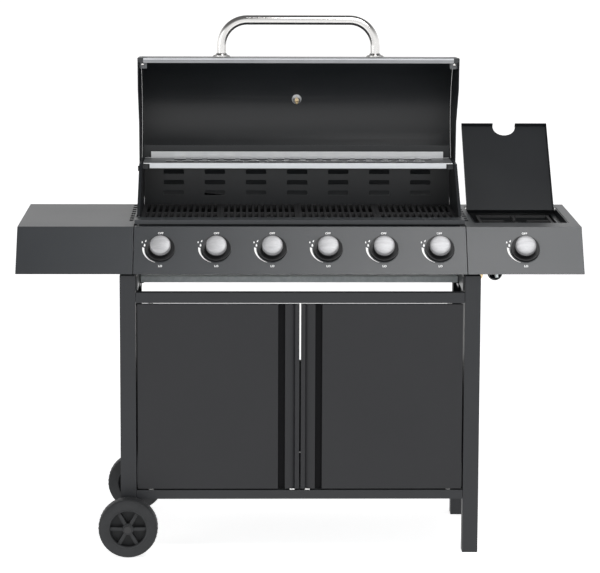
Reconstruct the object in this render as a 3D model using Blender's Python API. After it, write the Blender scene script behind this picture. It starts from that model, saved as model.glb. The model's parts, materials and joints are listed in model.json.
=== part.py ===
"""Gas barbecue grill on a two-door cart, with six main burners and a side burner.

Metres, +Z up, +X to the user's right, -Y towards the user. While the pieces are
made, Y = 0 is the front face of the front legs. The last step moves everything so
that the origin is under the middle of the whole grill. The two lids stand open.
"""

import math

import bmesh
import bpy
import numpy as np
from mathutils import Matrix, Vector

for old in list(bpy.data.objects):
    bpy.data.objects.remove(old, do_unlink=True)

# ---------------------------------------------------------------- driving sizes
WIDTH = 1.410  # over both side tables
TABLE_TOP = 0.8165
TABLE_BACK = 0.518
GAP = 0.0004  # between pieces that touch
SEAM = 0.0008  # clearance between sheet pieces of the cart
SHEET = 0.0012  # most of the painted steel sheet
HEAVY_SHEET = 0.0015  # firebox tub and ends
PAST = 0.010  # how far a cutter runs past the piece

# Cart
CART_HALF = 0.448  # middle to the outer face of a leg
LEG_WIDTH = 0.039
LEG_DEPTH = 0.040
REAR_LEG_FRONT = 0.404
TUBE_WALL = 0.0015
WHEEL_RADIUS = 0.0745
WHEEL_WIDTH = 0.050
AXLE_RADIUS = 0.006
HUB_RADIUS = 0.014
HUB_LENGTH = 0.060
SHELF_BOTTOM = 0.1384
SHELF_HEIGHT = 0.0226
RAIL_HEIGHT = 0.0258
RAIL_DEPTH = 0.026
REAR_PANEL_TOP = 0.411
SIDE_FLANGE = 0.012
REAR_FLANGE = 0.014

# Doors
DOOR_BOTTOM_GAP = 0.0038
DOOR_TOP_GAP = 0.0032
DOOR_SIDE_GAP = 0.0043
DOOR_MIDDLE_GAP = 0.0040
DOOR_DEPTH = 0.014
DOOR_PIN_INSET = 0.0327  # a door's hinge edge to its pin
DOOR_PIN_DEPTH = 0.010
PIN_RADIUS = 0.003
PIN_LENGTH = 0.0070
PULL_OUTER = 0.0550  # the finger groove beside each door's free edge
PULL_INNER = 0.0375
PULL_DEPTH = 0.0105

# Sloping front panel and its knobs
PANEL_LOW_DEPTH = -0.0070
PANEL_HIGH_DEPTH = 0.0760
PANEL_DROP = 0.1075
PANEL_BACK = 0.0945  # back edge of the panel's top return
PANEL_RETURN = 0.026
PANEL_FOLD = 0.037  # width of the panel's bottom fold
VENTS = 8  # slots along each table's inner edge
VENT_START = 0.185
VENT_PITCH = 0.042
VENT_LENGTH = 0.024
VENT_WIDTH = 0.010
TABLE_EDGE = 0.0415  # drop of a table's back and side edges
KNOB_COUNT = 6
KNOB_SPREAD = 0.8394  # the outer knobs' distance as a part of the panel's width
KNOB_PLACE = 0.53  # how far up the panel the knobs sit
KNOB_RADIUS = 0.0255
KNOB_HEIGHT = 0.0285  # face above the panel
KNOB_TRAVEL = 0.0030
BEZEL_RADIUS = 0.0360
BEZEL_HEIGHT = 0.0040
STEM_RADIUS = 0.0040
STEM_OUT = 0.0180  # stem end above the panel
STEM_IN = 0.0335  # stem foot below the panel
PIPE_DEPTH = 0.050  # gas pipe below the panel
PIPE_RADIUS = 0.010
VALVE_RADIUS = 0.011
INLET_OUT = 0.0085  # hose connection outside the leg

# Firebox
LEDGE_RISE = 0.0135  # ledge above the tables
LEDGE_FRONT = 0.0965
TUB_FRONT = 0.1475
TUB_BACK = 0.4925
TUB_DROP = 0.1165  # table top to the tub's floor
TUB_SLOPE = 0.035  # rise of the tub's sloping sides
GREASE_HALF = 0.330
GREASE_WIDTH = 0.070
REST_WIDTH = 0.0090  # the ledges that the grates rest on
REST_THICKNESS = 0.0030
BACK_RISE = 0.1595
LOUVRE_ROWS = (0.0305, 0.0585, 0.0865)  # heights above the tables
LOUVRE_COLUMNS = 7
LOUVRE_PITCH = 0.1085
LOUVRE_HALF = 0.027
LOUVRE_OPENING = 0.006
END_RISE = 0.1277
END_SLOPE_FRONT = 0.172
END_SLOPE_BACK = 0.340
BEAM_FRONT = 0.012  # the beam that carries the firebox between the legs
GRATE_RISE = 0.0040
GRATE_HEIGHT = 0.010
GRATE_COUNT = 4
GRATE_SLOTS = 12
GRATE_BAR = 0.006
GRATE_RIM = 0.009
BURNER_DROP = 0.0645
BURNER_RADIUS = 0.0100
BURNER_FRONT = 0.098
TENT_RISE = 0.0215
TENT_GAP = 0.063  # between neighbouring heat plates
TENT_RAIL = 0.006
RACK_RISE = 0.1270
RACK_FRONT = 0.3605
RACK_BACK = 0.4850
RACK_LIP_DOWN = 0.0135
RACK_LIP_UP = 0.0170
RACK_LIP_IN = 0.0160  # the lips end this far inside the floor
RACK_ROWS = 2
RACK_ROW_START = 0.0180
RACK_ROW_PITCH = 0.0520
RACK_SLOT_PITCH = 0.0430
RACK_SLOT = 0.0300
RACK_SLOT_WIDTH = 0.0340
TRAY_DROP = 0.1375
TRAY_HEIGHT = 0.0150
TRAY_WALL = 0.001
TRAY_GRIP = 0.022
TRAY_GRIP_HALF = 0.10

# Lid, with its sizes as in the closed position
HINGE_DEPTH = 0.455
HINGE_RISE = 0.1025
LID_OPEN = math.radians(82.5)
LID_LIP_DEPTH = 0.1425
LID_LIP_GAP = 0.005  # lip above the ledge
LID_HEM = 0.012
LID_LEAN = math.radians(10.0)
LID_FACE = 0.120
LID_CURVE = 0.170
LID_REAR = 0.545
LID_REAR_RISE = 0.1635
LID_BOLT_RADIUS = 0.0040
HANDLE_HALF = 0.1985
HANDLE_REACH = 0.096
HANDLE_RADIUS = 0.0127
HANDLE_BEND = 0.0660
HANDLE_UP = 0.068  # handle above the lid's lip
FLANGE_RADIUS = 0.0230
FLANGE_HEIGHT = 0.0100
DIAL_RADIUS = 0.0300

# Side burner, in the right table
WELL_MARGIN = 0.0235  # table edge to the well
WELL_FRONT = 0.154
WELL_BACK = 0.470
SIDE_STEP = 0.0180
SIDE_FLOOR = 0.0485
SIDE_HINGE_DEPTH = 0.4550
SIDE_HINGE_DROP = 0.0045
SIDE_PIN_RADIUS = 0.0025
SIDE_PIN = 0.0055
SIDE_LID_OPEN = math.radians(137.5)
SIDE_LID_HEIGHT = 0.0120
NOTCH_RADIUS = 0.030
NOTCH_IN = 0.004
FLAME_RADIUS = 0.0450
FEED_RADIUS = 0.0110
MOUTH_RADIUS = 0.0190
MOUTH_DEPTH = 0.100
VENTURI_DROP = 0.1199

# ---------------------------------------------------------------- sizes that follow
TABLE_HALF = WIDTH / 2
LEG_INNER = CART_HALF - LEG_WIDTH
LEG_TOP = TABLE_TOP - 0.1125
CART_BACK = REAR_LEG_FRONT + LEG_DEPTH
AXLE_X = -(CART_HALF + LEG_INNER) / 2
SHELF_TOP = SHELF_BOTTOM + SHELF_HEIGHT
RAIL_BOTTOM = LEG_TOP - 0.0682
RAIL_TOP = RAIL_BOTTOM + RAIL_HEIGHT
SPAN_HALF = LEG_INNER - 2 * GAP  # shelf, rail and rear panel, between the legs
DOOR_BOTTOM = SHELF_TOP + DOOR_BOTTOM_GAP
DOOR_TOP = RAIL_BOTTOM - DOOR_TOP_GAP
DOOR_OUTER = LEG_INNER - DOOR_SIDE_GAP
DOOR_INNER = DOOR_MIDDLE_GAP / 2
DOOR_PIVOT = DOOR_OUTER - DOOR_PIN_INSET

PANEL_HALF = CART_HALF - 0.0340
PANEL_LOW = Vector((0.0, PANEL_LOW_DEPTH, TABLE_TOP - PANEL_DROP))
PANEL_HIGH = Vector((0.0, PANEL_HIGH_DEPTH, TABLE_TOP))
PANEL_UP = (PANEL_HIGH - PANEL_LOW).normalized()
PANEL_OUT = Vector((0.0, -PANEL_UP.z, PANEL_UP.y))
PANEL_MIDDLE = PANEL_LOW.lerp(PANEL_HIGH, KNOB_PLACE)
KNOB_PITCH = 2 * PANEL_HALF * KNOB_SPREAD / (KNOB_COUNT - 1)
KNOB_XS = [(i - (KNOB_COUNT - 1) / 2) * KNOB_PITCH for i in range(KNOB_COUNT)]
PIPE = PANEL_MIDDLE - PANEL_OUT * PIPE_DEPTH

END_INNER = CART_HALF - 0.0450
BOX_HALF = END_INNER - GAP
LEDGE_TOP = TABLE_TOP + LEDGE_RISE
TUB_FLOOR = TABLE_TOP - TUB_DROP
BACK_TOP = TABLE_TOP + BACK_RISE
END_TOP = TABLE_TOP + END_RISE
GRATE_TOP = TABLE_TOP + GRATE_RISE
BURNER_HEIGHT = TABLE_TOP - BURNER_DROP
RACK_FLOOR = TABLE_TOP + RACK_RISE
TRAY_TOP = TABLE_TOP - TRAY_DROP
TRAY_BOTTOM = TRAY_TOP - TRAY_HEIGHT

HINGE = Vector((0.0, HINGE_DEPTH, TABLE_TOP + HINGE_RISE))
LID_HALF = CART_HALF - 0.0345
LID_LIP = Vector((0.0, LID_LIP_DEPTH, LEDGE_TOP + LID_LIP_GAP))
LID_REAR_BOTTOM = TABLE_TOP + LID_REAR_RISE

TABLE_INNER = PANEL_HALF + 2 * SEAM
SIDE_X = (TABLE_INNER + TABLE_HALF) / 2
WELL_HALF = (TABLE_HALF - TABLE_INNER) / 2 - WELL_MARGIN
SIDE_MIDDLE = (WELL_FRONT + WELL_BACK) / 2 - 0.001
BOWL_HALF = WELL_HALF - 0.0158
TRIVET_HALF = WELL_HALF - 0.0260
TRIVET_HALF_DEPTH = (WELL_BACK - WELL_FRONT) / 2 - 0.0628
SIDE_LID_HALF = WELL_HALF - 0.0065
SIDE_LID_FRONT = WELL_FRONT + 0.0045
SIDE_LID_BACK = WELL_BACK - 0.0060
SIDE_HINGE = Vector((SIDE_X, SIDE_HINGE_DEPTH, TABLE_TOP - SIDE_HINGE_DROP))
VENTURI_X = SIDE_X - 0.57 * WELL_HALF  # the air mouth, beside the side burner's middle
VENTURI_HEIGHT = TABLE_TOP - VENTURI_DROP


# ---------------------------------------------------------------- materials
def paint(name, colour, roughness=0.5, metallic=0.0):
    """A Principled material for one node."""
    material = bpy.data.materials.new(name)
    material.use_nodes = True
    shader = material.node_tree.nodes["Principled BSDF"]
    shader.inputs["Base Color"].default_value = (*colour, 1.0)
    shader.inputs["Roughness"].default_value = roughness
    shader.inputs["Metallic"].default_value = metallic
    material.diffuse_color = (*colour, 1.0)
    return material


FINISHES = {
    "charcoal": ((0.055, 0.058, 0.064), 0.45, 0.3),
    "enamel": ((0.018, 0.019, 0.021), 0.35, 0.0),
    "cast_iron": ((0.025, 0.025, 0.027), 0.7, 0.2),
    "steel": ((0.60, 0.61, 0.62), 0.3, 1.0),
    "zinc": ((0.50, 0.55, 0.57), 0.4, 0.9),
    "chrome": ((0.75, 0.76, 0.78), 0.1, 1.0),
    "brass": ((0.70, 0.52, 0.26), 0.35, 1.0),
    "plastic": ((0.025, 0.025, 0.027), 0.55, 0.0),
}


# ---------------------------------------------------------------- shape helpers
def made(mesh):
    """A loose object for a bmesh, with its faces turned outwards."""
    bmesh.ops.recalc_face_normals(mesh, faces=mesh.faces[:])
    data = bpy.data.meshes.new("shape")
    mesh.to_mesh(data)
    mesh.free()
    item = bpy.data.objects.new("shape", data)
    bpy.context.scene.collection.objects.link(item)
    return item


def box(low, high):
    """A block between two opposite corners."""
    mesh = bmesh.new()
    bmesh.ops.create_cube(mesh, size=1.0)
    low, high = Vector(low), Vector(high)
    size = Matrix.Diagonal((*(high - low), 1.0))
    bmesh.ops.transform(mesh, matrix=Matrix.Translation((low + high) / 2) @ size, verts=mesh.verts)
    return made(mesh)


def prism(outline, axis, start, end):
    """An outline in the plane across X, Y or Z, extruded along that axis."""
    place = {
        "X": lambda p, h: (h, p[0], p[1]),
        "Y": lambda p, h: (p[0], h, p[1]),
        "Z": lambda p, h: (p[0], p[1], h),
    }[axis]
    mesh = bmesh.new()
    face = mesh.faces.new([mesh.verts.new(place(point, start)) for point in outline])
    swept = bmesh.ops.extrude_face_region(mesh, geom=[face])["geom"]
    moved = [part for part in swept if isinstance(part, bmesh.types.BMVert)]
    bmesh.ops.translate(mesh, verts=moved, vec=Vector(place((0, 0), end)) - Vector(place((0, 0), start)))
    return made(mesh)


def sheet(path, thickness):
    """The closed outline of a folded sheet whose middle line is the path."""
    points = [np.array(point, float) for point in path]
    runs = [(b - a) / np.linalg.norm(b - a) for a, b in zip(points, points[1:])]
    sides = [np.array((-run[1], run[0])) for run in runs]
    left, right = [], []
    for i, point in enumerate(points):
        before, after = sides[max(i - 1, 0)], sides[min(i, len(sides) - 1)]
        mitre = (before + after) / (1.0 + before @ after) * thickness / 2
        left.append(tuple(point + mitre))
        right.append(tuple(point - mitre))
    return left + right[::-1]


def turned(profile, base, axis, sides=24):
    """A profile of (radius, height) points turned round an axis from base."""
    mesh = bmesh.new()
    frame = Vector((0, 0, 1)).rotation_difference(Vector(axis)).to_matrix().to_4x4()
    rings = []
    for radius, height in profile:
        if radius == 0.0:
            rings.append([mesh.verts.new((0, 0, height))])
            continue
        angles = [2 * math.pi * (i + 0.5) / sides for i in range(sides)]
        rings.append([mesh.verts.new((radius * math.cos(a), radius * math.sin(a), height)) for a in angles])
    closed = profile[0][0] > 0.0
    for lower, upper in zip(rings, rings[1:] + ([rings[0]] if closed else [])):
        for i in range(sides):
            j = (i + 1) % sides
            corners = [lower[i % len(lower)], lower[j % len(lower)], upper[j % len(upper)], upper[i % len(upper)]]
            mesh.faces.new(list(dict.fromkeys(corners)))
    bmesh.ops.transform(mesh, matrix=Matrix.Translation(base) @ frame, verts=mesh.verts)
    return made(mesh)


def rod(start, end, radius, sides=12):
    """A round bar between two points."""
    start, end = Vector(start), Vector(end)
    length = (end - start).length
    return turned([(0.0, 0.0), (radius, 0.0), (radius, length), (0.0, length)], start, end - start, sides)


def bent_tube(points, radius, sides=12):
    """A round bar swept along points that lie in one plane."""
    points = [Vector(point) for point in points]
    across = (points[1] - points[0]).cross(points[-1] - points[0]).normalized()
    mesh = bmesh.new()
    rings = []
    for i, point in enumerate(points):
        along = (points[min(i + 1, len(points) - 1)] - points[max(i - 1, 0)]).normalized()
        side = across.cross(along)
        ring = []
        for k in range(sides):
            angle = 2 * math.pi * k / sides
            ring.append(mesh.verts.new(point + radius * (math.cos(angle) * across + math.sin(angle) * side)))
        rings.append(ring)
    for lower, upper in zip(rings, rings[1:]):
        for k in range(sides):
            mesh.faces.new((lower[k], lower[(k + 1) % sides], upper[(k + 1) % sides], upper[k]))
    mesh.faces.new(rings[0])
    mesh.faces.new(rings[-1])
    return made(mesh)


def combine(item, others, operation):
    """Applies an exact Boolean with the other shapes, then removes them."""
    tool_mesh = bmesh.new()
    for other in others:
        tool_mesh.from_mesh(other.data)
        bpy.data.objects.remove(other, do_unlink=True)
    tool = made(tool_mesh)
    change = item.modifiers.new("shape", "BOOLEAN")
    change.solver = "EXACT"
    change.operation = operation
    change.object = tool
    graph = bpy.context.evaluated_depsgraph_get()
    result = bpy.data.meshes.new_from_object(item.evaluated_get(graph))
    item.modifiers.clear()
    item.data = result
    bpy.data.objects.remove(tool, do_unlink=True)
    return item


def cut(item, *tools):
    return combine(item, tools, "DIFFERENCE")


def join(item, *others):
    for other in others:
        combine(item, [other], "UNION")
    return item


def finish(item, name, finish_name, origin=(0.0, 0.0, 0.0), parent=None):
    """Names a piece, gives it its material and sets its origin."""
    origin = Vector(origin)
    item.name = name
    item.data.name = name
    item.data.transform(Matrix.Translation(-origin))
    item.location = origin
    if parent:
        item.parent = parent
        item.location = origin - parent.matrix_basis.translation
    item.data.materials.clear()
    item.data.materials.append(paint(name, *FINISHES[finish_name]))
    item.data.shade_smooth()
    item.data.set_sharp_from_angle(angle=math.radians(32))
    return item


def pivot(name, place):
    """An empty on a joint's axis."""
    empty = bpy.data.objects.new(name, None)
    empty.location = place
    bpy.context.scene.collection.objects.link(empty)
    return empty


# ---------------------------------------------------------------- cart
def make_leg(name, outer, inner, front, bottom):
    """An upright of square steel tube, open at both ends."""
    left, right = min(outer, inner), max(outer, inner)
    back = front + LEG_DEPTH
    leg = box((left, front, bottom), (right, back, LEG_TOP))
    hollow = box(
        (left + TUBE_WALL, front + TUBE_WALL, bottom - PAST),
        (right - TUBE_WALL, back - TUBE_WALL, LEG_TOP + PAST),
    )
    cut(leg, hollow)
    if outer < 0:
        cut(leg, rod((AXLE_X, front - PAST, WHEEL_RADIUS), (AXLE_X, back + PAST, WHEEL_RADIUS), AXLE_RADIUS + GAP))
    return finish(leg, name, "charcoal", ((left + right) / 2, (front + back) / 2, bottom))


def make_legs():
    wheel_end = WHEEL_RADIUS - LEG_DEPTH / 2
    make_leg("leg_front_left", -CART_HALF, -LEG_INNER, 0.0, wheel_end)
    make_leg("leg_front_right", CART_HALF, LEG_INNER, 0.0, 0.0)
    make_leg("leg_rear_left", -CART_HALF, -LEG_INNER, REAR_LEG_FRONT, wheel_end)
    make_leg("leg_rear_right", CART_HALF, LEG_INNER, REAR_LEG_FRONT, 0.0)


def make_side_panels():
    """Closing panels between the legs, with flanges folded towards the inside."""
    plane = (CART_HALF + LEG_INNER) / 2
    front = LEG_DEPTH + SEAM
    back = REAR_LEG_FRONT - SEAM
    for side, name in ((-1, "side_panel_left"), (1, "side_panel_right")):
        flange = side * (plane - SIDE_FLANGE)
        outline = sheet([(flange, front), (side * plane, front), (side * plane, back), (flange, back)], SHEET)
        finish(prism(outline, "Z", SHELF_TOP + SEAM, LEG_TOP - 5 * SEAM), name, "charcoal")


def make_shelf():
    """The pan-shaped bottom shelf, with holes for the door pins."""
    half = SPAN_HALF
    shelf = box((-half, 0.0, SHELF_BOTTOM), (half, CART_BACK, SHELF_TOP))
    under = box(
        (-half + SHEET, SHEET, SHELF_BOTTOM - PAST),
        (half - SHEET, CART_BACK - SHEET, SHELF_TOP - HEAVY_SHEET),
    )
    cut(shelf, under)
    cut(shelf, *pin_holes(SHELF_TOP - PAST / 2, SHELF_TOP + PAST / 2))
    finish(shelf, "bottom_shelf", "charcoal")


def pin_holes(low, high):
    return [
        rod((x, DOOR_PIN_DEPTH, low), (x, DOOR_PIN_DEPTH, high), PIN_RADIUS + GAP)
        for x in (-DOOR_PIVOT, DOOR_PIVOT)
    ]


def make_front_rail():
    """The channel above the doors, open at the back."""
    half = SPAN_HALF
    rail = box((-half, 0.0, RAIL_BOTTOM), (half, RAIL_DEPTH, RAIL_TOP))
    hollow = box(
        (-half + SHEET, SHEET, RAIL_BOTTOM + SHEET),
        (half - SHEET, RAIL_DEPTH + PAST, RAIL_TOP - SHEET),
    )
    cut(rail, hollow)
    cut(rail, *pin_holes(RAIL_BOTTOM - PAST / 2, RAIL_BOTTOM + PAST / 2))
    finish(rail, "front_rail", "charcoal")


def make_rear_panel():
    plane = CART_BACK - 0.002
    outline = sheet([(plane - REAR_FLANGE, REAR_PANEL_TOP), (plane, REAR_PANEL_TOP), (plane, SHELF_TOP + SEAM)], SHEET)
    finish(prism(outline, "X", -SPAN_HALF, SPAN_HALF), "rear_panel", "charcoal")


def make_wheels():
    """The axle through the left legs, with a wheel on each end."""
    clear = 0.0015
    hub_front, hub_back = -clear - HUB_LENGTH, CART_BACK + clear
    head = 0.0025
    head_radius = 1.5 * AXLE_RADIUS
    length = hub_back + HUB_LENGTH - hub_front + 2 * (head + GAP)
    start = Vector((AXLE_X, hub_front - head - GAP, WHEEL_RADIUS))
    profile = [
        (0.0, 0.0),
        (head_radius, 0.0),
        (head_radius, head),
        (AXLE_RADIUS, head),
        (AXLE_RADIUS, length - head),
        (head_radius, length - head),
        (head_radius, length),
        (0.0, length),
    ]
    finish(turned(profile, start, (0, 1, 0), 16), "wheel_axle", "steel", start)
    for name, hub_start, turn in (("wheel_front", hub_front, 1), ("wheel_rear", hub_back + HUB_LENGTH, -1)):
        make_wheel(name, Vector((AXLE_X, hub_start, WHEEL_RADIUS)), Vector((0, turn, 0)))


def make_wheel(name, outside, inward):
    """A moulded wheel, made from its outer face inwards."""
    edge = 0.0025
    shoulder = 0.004
    bore = AXLE_RADIUS + GAP
    rim = 0.617 * WHEEL_RADIUS
    web = (edge + 0.36 * WHEEL_WIDTH, edge + 0.56 * WHEEL_WIDTH)
    profile = [
        (bore, 0.0),
        (HUB_RADIUS, 0.0),
        (HUB_RADIUS, web[0]),
        (rim, web[0]),
        (rim + shoulder, edge),
        (WHEEL_RADIUS - shoulder, edge),
        (WHEEL_RADIUS, edge + 1.5 * shoulder),
        (WHEEL_RADIUS, edge + WHEEL_WIDTH - 1.5 * shoulder),
        (WHEEL_RADIUS - shoulder, edge + WHEEL_WIDTH),
        (rim + shoulder, edge + WHEEL_WIDTH),
        (rim, web[1]),
        (HUB_RADIUS, web[1]),
        (HUB_RADIUS, HUB_LENGTH),
        (bore, HUB_LENGTH),
    ]
    wheel = turned(profile, outside, inward, 26)
    windows = []
    for i in range(6):
        angle = math.radians(60 * i + 30)
        centre = outside + (HUB_RADIUS + rim) / 2 * Vector((math.cos(angle), 0.0, math.sin(angle)))
        windows.append(rod(centre, centre + inward * HUB_LENGTH, 0.31 * (rim - HUB_RADIUS), 8))
    cut(wheel, *windows)
    finish(wheel, name, "plastic", outside + inward * HUB_LENGTH / 2)


# ---------------------------------------------------------------- doors
def make_door(name, side):
    """A steel pan, open at the back, with a full-height finger groove."""

    def across(outer, inner):
        return sorted((side * outer, side * inner))

    left, right = across(DOOR_OUTER, DOOR_INNER)
    door = box((left, 0.0, DOOR_BOTTOM), (right, DOOR_DEPTH, DOOR_TOP))
    groove_left, groove_right = across(PULL_OUTER, PULL_INNER)
    groove = box((groove_left, -PAST, DOOR_BOTTOM - PAST), (groove_right, PULL_DEPTH, DOOR_TOP + PAST))
    pockets = []
    for outer, inner in ((DOOR_OUTER - SHEET, PULL_OUTER + SHEET), (PULL_INNER - SHEET, DOOR_INNER + SHEET)):
        low, high = across(outer, inner)
        pockets.append(box((low, SHEET, DOOR_BOTTOM + SHEET), (high, DOOR_DEPTH + PAST, DOOR_TOP - SHEET)))
    cut(door, groove, *pockets)
    x = side * DOOR_PIVOT
    for edge, away in ((DOOR_BOTTOM, -1), (DOOR_TOP, 1)):
        root = (x, DOOR_PIN_DEPTH, edge - away * SHEET / 2)
        join(door, rod(root, (x, DOOR_PIN_DEPTH, edge + away * PIN_LENGTH), PIN_RADIUS))
    finish(door, name, "charcoal", (x, DOOR_PIN_DEPTH, DOOR_BOTTOM))


# ---------------------------------------------------------------- firebox
def make_tub():
    """The folded tub under the grates, with its front ledge and grease opening."""
    trough = sheet(
        [
            (TUB_FRONT, LEDGE_TOP - GAP / 2),
            (TUB_FRONT, TUB_FLOOR + TUB_SLOPE),
            (TUB_FRONT + 2.5 * TUB_SLOPE, TUB_FLOOR),
            (TUB_BACK - 2.5 * TUB_SLOPE, TUB_FLOOR),
            (TUB_BACK, TUB_FLOOR + TUB_SLOPE),
            (TUB_BACK, GRATE_TOP - GRATE_HEIGHT - SEAM),
        ],
        HEAVY_SHEET,
    )
    tub = prism(trough, "X", -BOX_HALF, BOX_HALF)
    ledge = sheet(
        [(LEDGE_FRONT, LEDGE_TOP - PAST), (LEDGE_FRONT, LEDGE_TOP), (TUB_FRONT + 0.0007, LEDGE_TOP)],
        HEAVY_SHEET,
    )
    rest_top = GRATE_TOP - GRATE_HEIGHT - GAP
    join(
        tub,
        prism(ledge, "X", -PANEL_HALF + GAP, PANEL_HALF - GAP),
        box((-BOX_HALF, TUB_FRONT, rest_top - REST_THICKNESS), (BOX_HALF, TUB_FRONT + REST_WIDTH, rest_top)),
        box((-BOX_HALF, TUB_BACK - REST_WIDTH, rest_top - REST_THICKNESS), (BOX_HALF, TUB_BACK, rest_top)),
    )
    holes = [
        rod((x, TUB_FRONT - PAST, BURNER_HEIGHT), (x, TUB_FRONT + PAST, BURNER_HEIGHT), BURNER_RADIUS + 0.001)
        for x in KNOB_XS
    ]
    middle = (TUB_FRONT + TUB_BACK) / 2
    grease = box(
        (-GREASE_HALF, middle - GREASE_WIDTH / 2, TUB_FLOOR - PAST),
        (GREASE_HALF, middle + GREASE_WIDTH / 2, TUB_FLOOR + PAST),
    )
    cut(tub, grease, *holes)
    finish(tub, "firebox_tub", "enamel")


def make_back():
    """The louvred back wall of the firebox."""
    front = TUB_BACK + 0.0013
    back = box((-BOX_HALF, front, TABLE_TOP - 0.0565), (BOX_HALF, front + SHEET, BACK_TOP))
    slots = []
    for column in range(LOUVRE_COLUMNS):
        x = (column - (LOUVRE_COLUMNS - 1) / 2) * LOUVRE_PITCH
        for rise in LOUVRE_ROWS:
            height = TABLE_TOP + rise
            low = (x - LOUVRE_HALF, front - PAST, height - LOUVRE_OPENING / 2)
            slots.append(box(low, (x + LOUVRE_HALF, front + PAST, height + LOUVRE_OPENING / 2)))
    cut(back, *slots)
    finish(back, "firebox_back", "enamel")


def make_end(name, side):
    """A firebox end, with its lid pivot bolt, rack shelf, side rail and tray guide."""

    def block(inner, outer, front, back, low, high):
        left, right = sorted((side * inner, side * outer))
        return box((left, front, low), (right, back, high))

    def slab(outline, inner, outer):
        left, right = sorted((side * inner, side * outer))
        return prism(outline, "X", left, right)

    front = TUB_FRONT + 0.0020
    back = TUB_BACK + 0.0075
    low = TRAY_BOTTOM - 0.0125
    slope_foot = LEDGE_TOP + 0.001
    plate = [
        (front, low),
        (back, low),
        (back, END_TOP),
        (END_SLOPE_BACK, END_TOP),
        (END_SLOPE_FRONT, slope_foot),
        (front, slope_foot),
    ]
    end = slab(plate, END_INNER, END_INNER + HEAVY_SHEET)
    flange_top = END_TOP - HEAVY_SHEET / 2 + 0.00005
    flange = sheet([(END_SLOPE_FRONT, slope_foot), (END_SLOPE_BACK, flange_top), (0.480, flange_top)], HEAVY_SHEET)
    root = END_INNER + HEAVY_SHEET / 3
    join(
        end,
        slab(flange, root, LID_HALF - 0.0030),
        block(root, LEG_INNER - GAP, BEAM_FRONT, CART_BACK - 0.004, LEG_TOP - 0.039, LEG_TOP - 0.004),
        block(root, TABLE_INNER, 0.170, 0.450, TABLE_TOP - 0.0515, TABLE_TOP - 0.0265),
        block(END_INNER - 0.012, root, RACK_FRONT + 0.0055, RACK_BACK - 0.010, RACK_FLOOR - 0.0060, RACK_FLOOR - 3 * GAP),
        block(END_INNER - 0.009, root, front + 0.0105, back - 0.001, TRAY_BOTTOM - 0.0035, TRAY_BOTTOM - GAP),
    )
    axis = Vector((side, 0.0, 0.0))
    head = LID_HALF + GAP - END_INNER
    bolt = [
        (0.0, 0.0005),
        (LID_BOLT_RADIUS, 0.0005),
        (LID_BOLT_RADIUS, head),
        (LID_BOLT_RADIUS + 0.0030, head),
        (LID_BOLT_RADIUS + 0.0030, head + LID_BOLT_RADIUS),
        (0.0, head + LID_BOLT_RADIUS),
    ]
    join(end, turned(bolt, axis * END_INNER + HINGE, axis, 16))
    finish(end, name, "enamel")


def make_burners():
    """Tube burners with an open mouth in front of the tub."""
    for i, x in enumerate(KNOB_XS):
        length = TUB_BACK - 0.0075 - BURNER_FRONT
        profile = [
            (0.0, TUB_FRONT - BURNER_FRONT),
            (BURNER_RADIUS - 0.0015, TUB_FRONT - BURNER_FRONT),
            (BURNER_RADIUS - 0.0015, 0.0),
            (BURNER_RADIUS, 0.0),
            (BURNER_RADIUS, length),
            (0.0, length),
        ]
        start = Vector((x, BURNER_FRONT, BURNER_HEIGHT))
        finish(turned(profile, start, (0, 1, 0), 14), f"burner_{i + 1}", "steel", start)


def make_heat_tents():
    """Roof-shaped heat plates over the burners, on two carrying rails."""
    front, back = TUB_FRONT + 0.0080, TUB_BACK - 0.0060
    low = BURNER_HEIGHT + BURNER_RADIUS + 0.0035
    eave = low + TENT_RAIL - GAP
    half = (KNOB_PITCH - TENT_GAP) / 2
    rails = [
        box((-BOX_HALF + 0.002, y, low), (BOX_HALF - 0.002, y + TENT_RAIL, low + TENT_RAIL))
        for y in (front + 0.012, back - 0.018)
    ]
    tents = rails[0]
    roofs = []
    for x in KNOB_XS:
        roof = [(x - half, eave), (x, eave + TENT_RISE), (x + half, eave)]
        roofs.append(prism(sheet(roof, SHEET), "Y", front, back))
    join(tents, *roofs, rails[1])
    finish(tents, "heat_tents", "steel")


def make_grates():
    """Four lift-out cast grates side by side."""
    front, back = TUB_FRONT + 0.0020, TUB_BACK - 0.0020
    middle = (front + back) / 2
    rib = 0.005  # half the cross rib
    width = 2 * BOX_HALF / GRATE_COUNT
    pitch = (width - 2 * GRATE_RIM + GRATE_BAR) / GRATE_SLOTS
    bottom = GRATE_TOP - GRATE_HEIGHT
    for i in range(GRATE_COUNT):
        left = -BOX_HALF + i * width + GAP / 2
        grate = box((left, front, bottom), (left + width - GAP, back, GRATE_TOP))
        tools = []
        for k in range(GRATE_SLOTS):
            x = left + GRATE_RIM + k * pitch
            for start, end in ((front + GRATE_RIM, middle - rib), (middle + rib, back - GRATE_RIM)):
                tools.append(box((x, start, bottom - PAST), (x + pitch - GRATE_BAR, end, GRATE_TOP + PAST)))
        cut(grate, *tools)
        finish(grate, f"grate_{i + 1}", "cast_iron", (left + width / 2, middle, GRATE_TOP))


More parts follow.
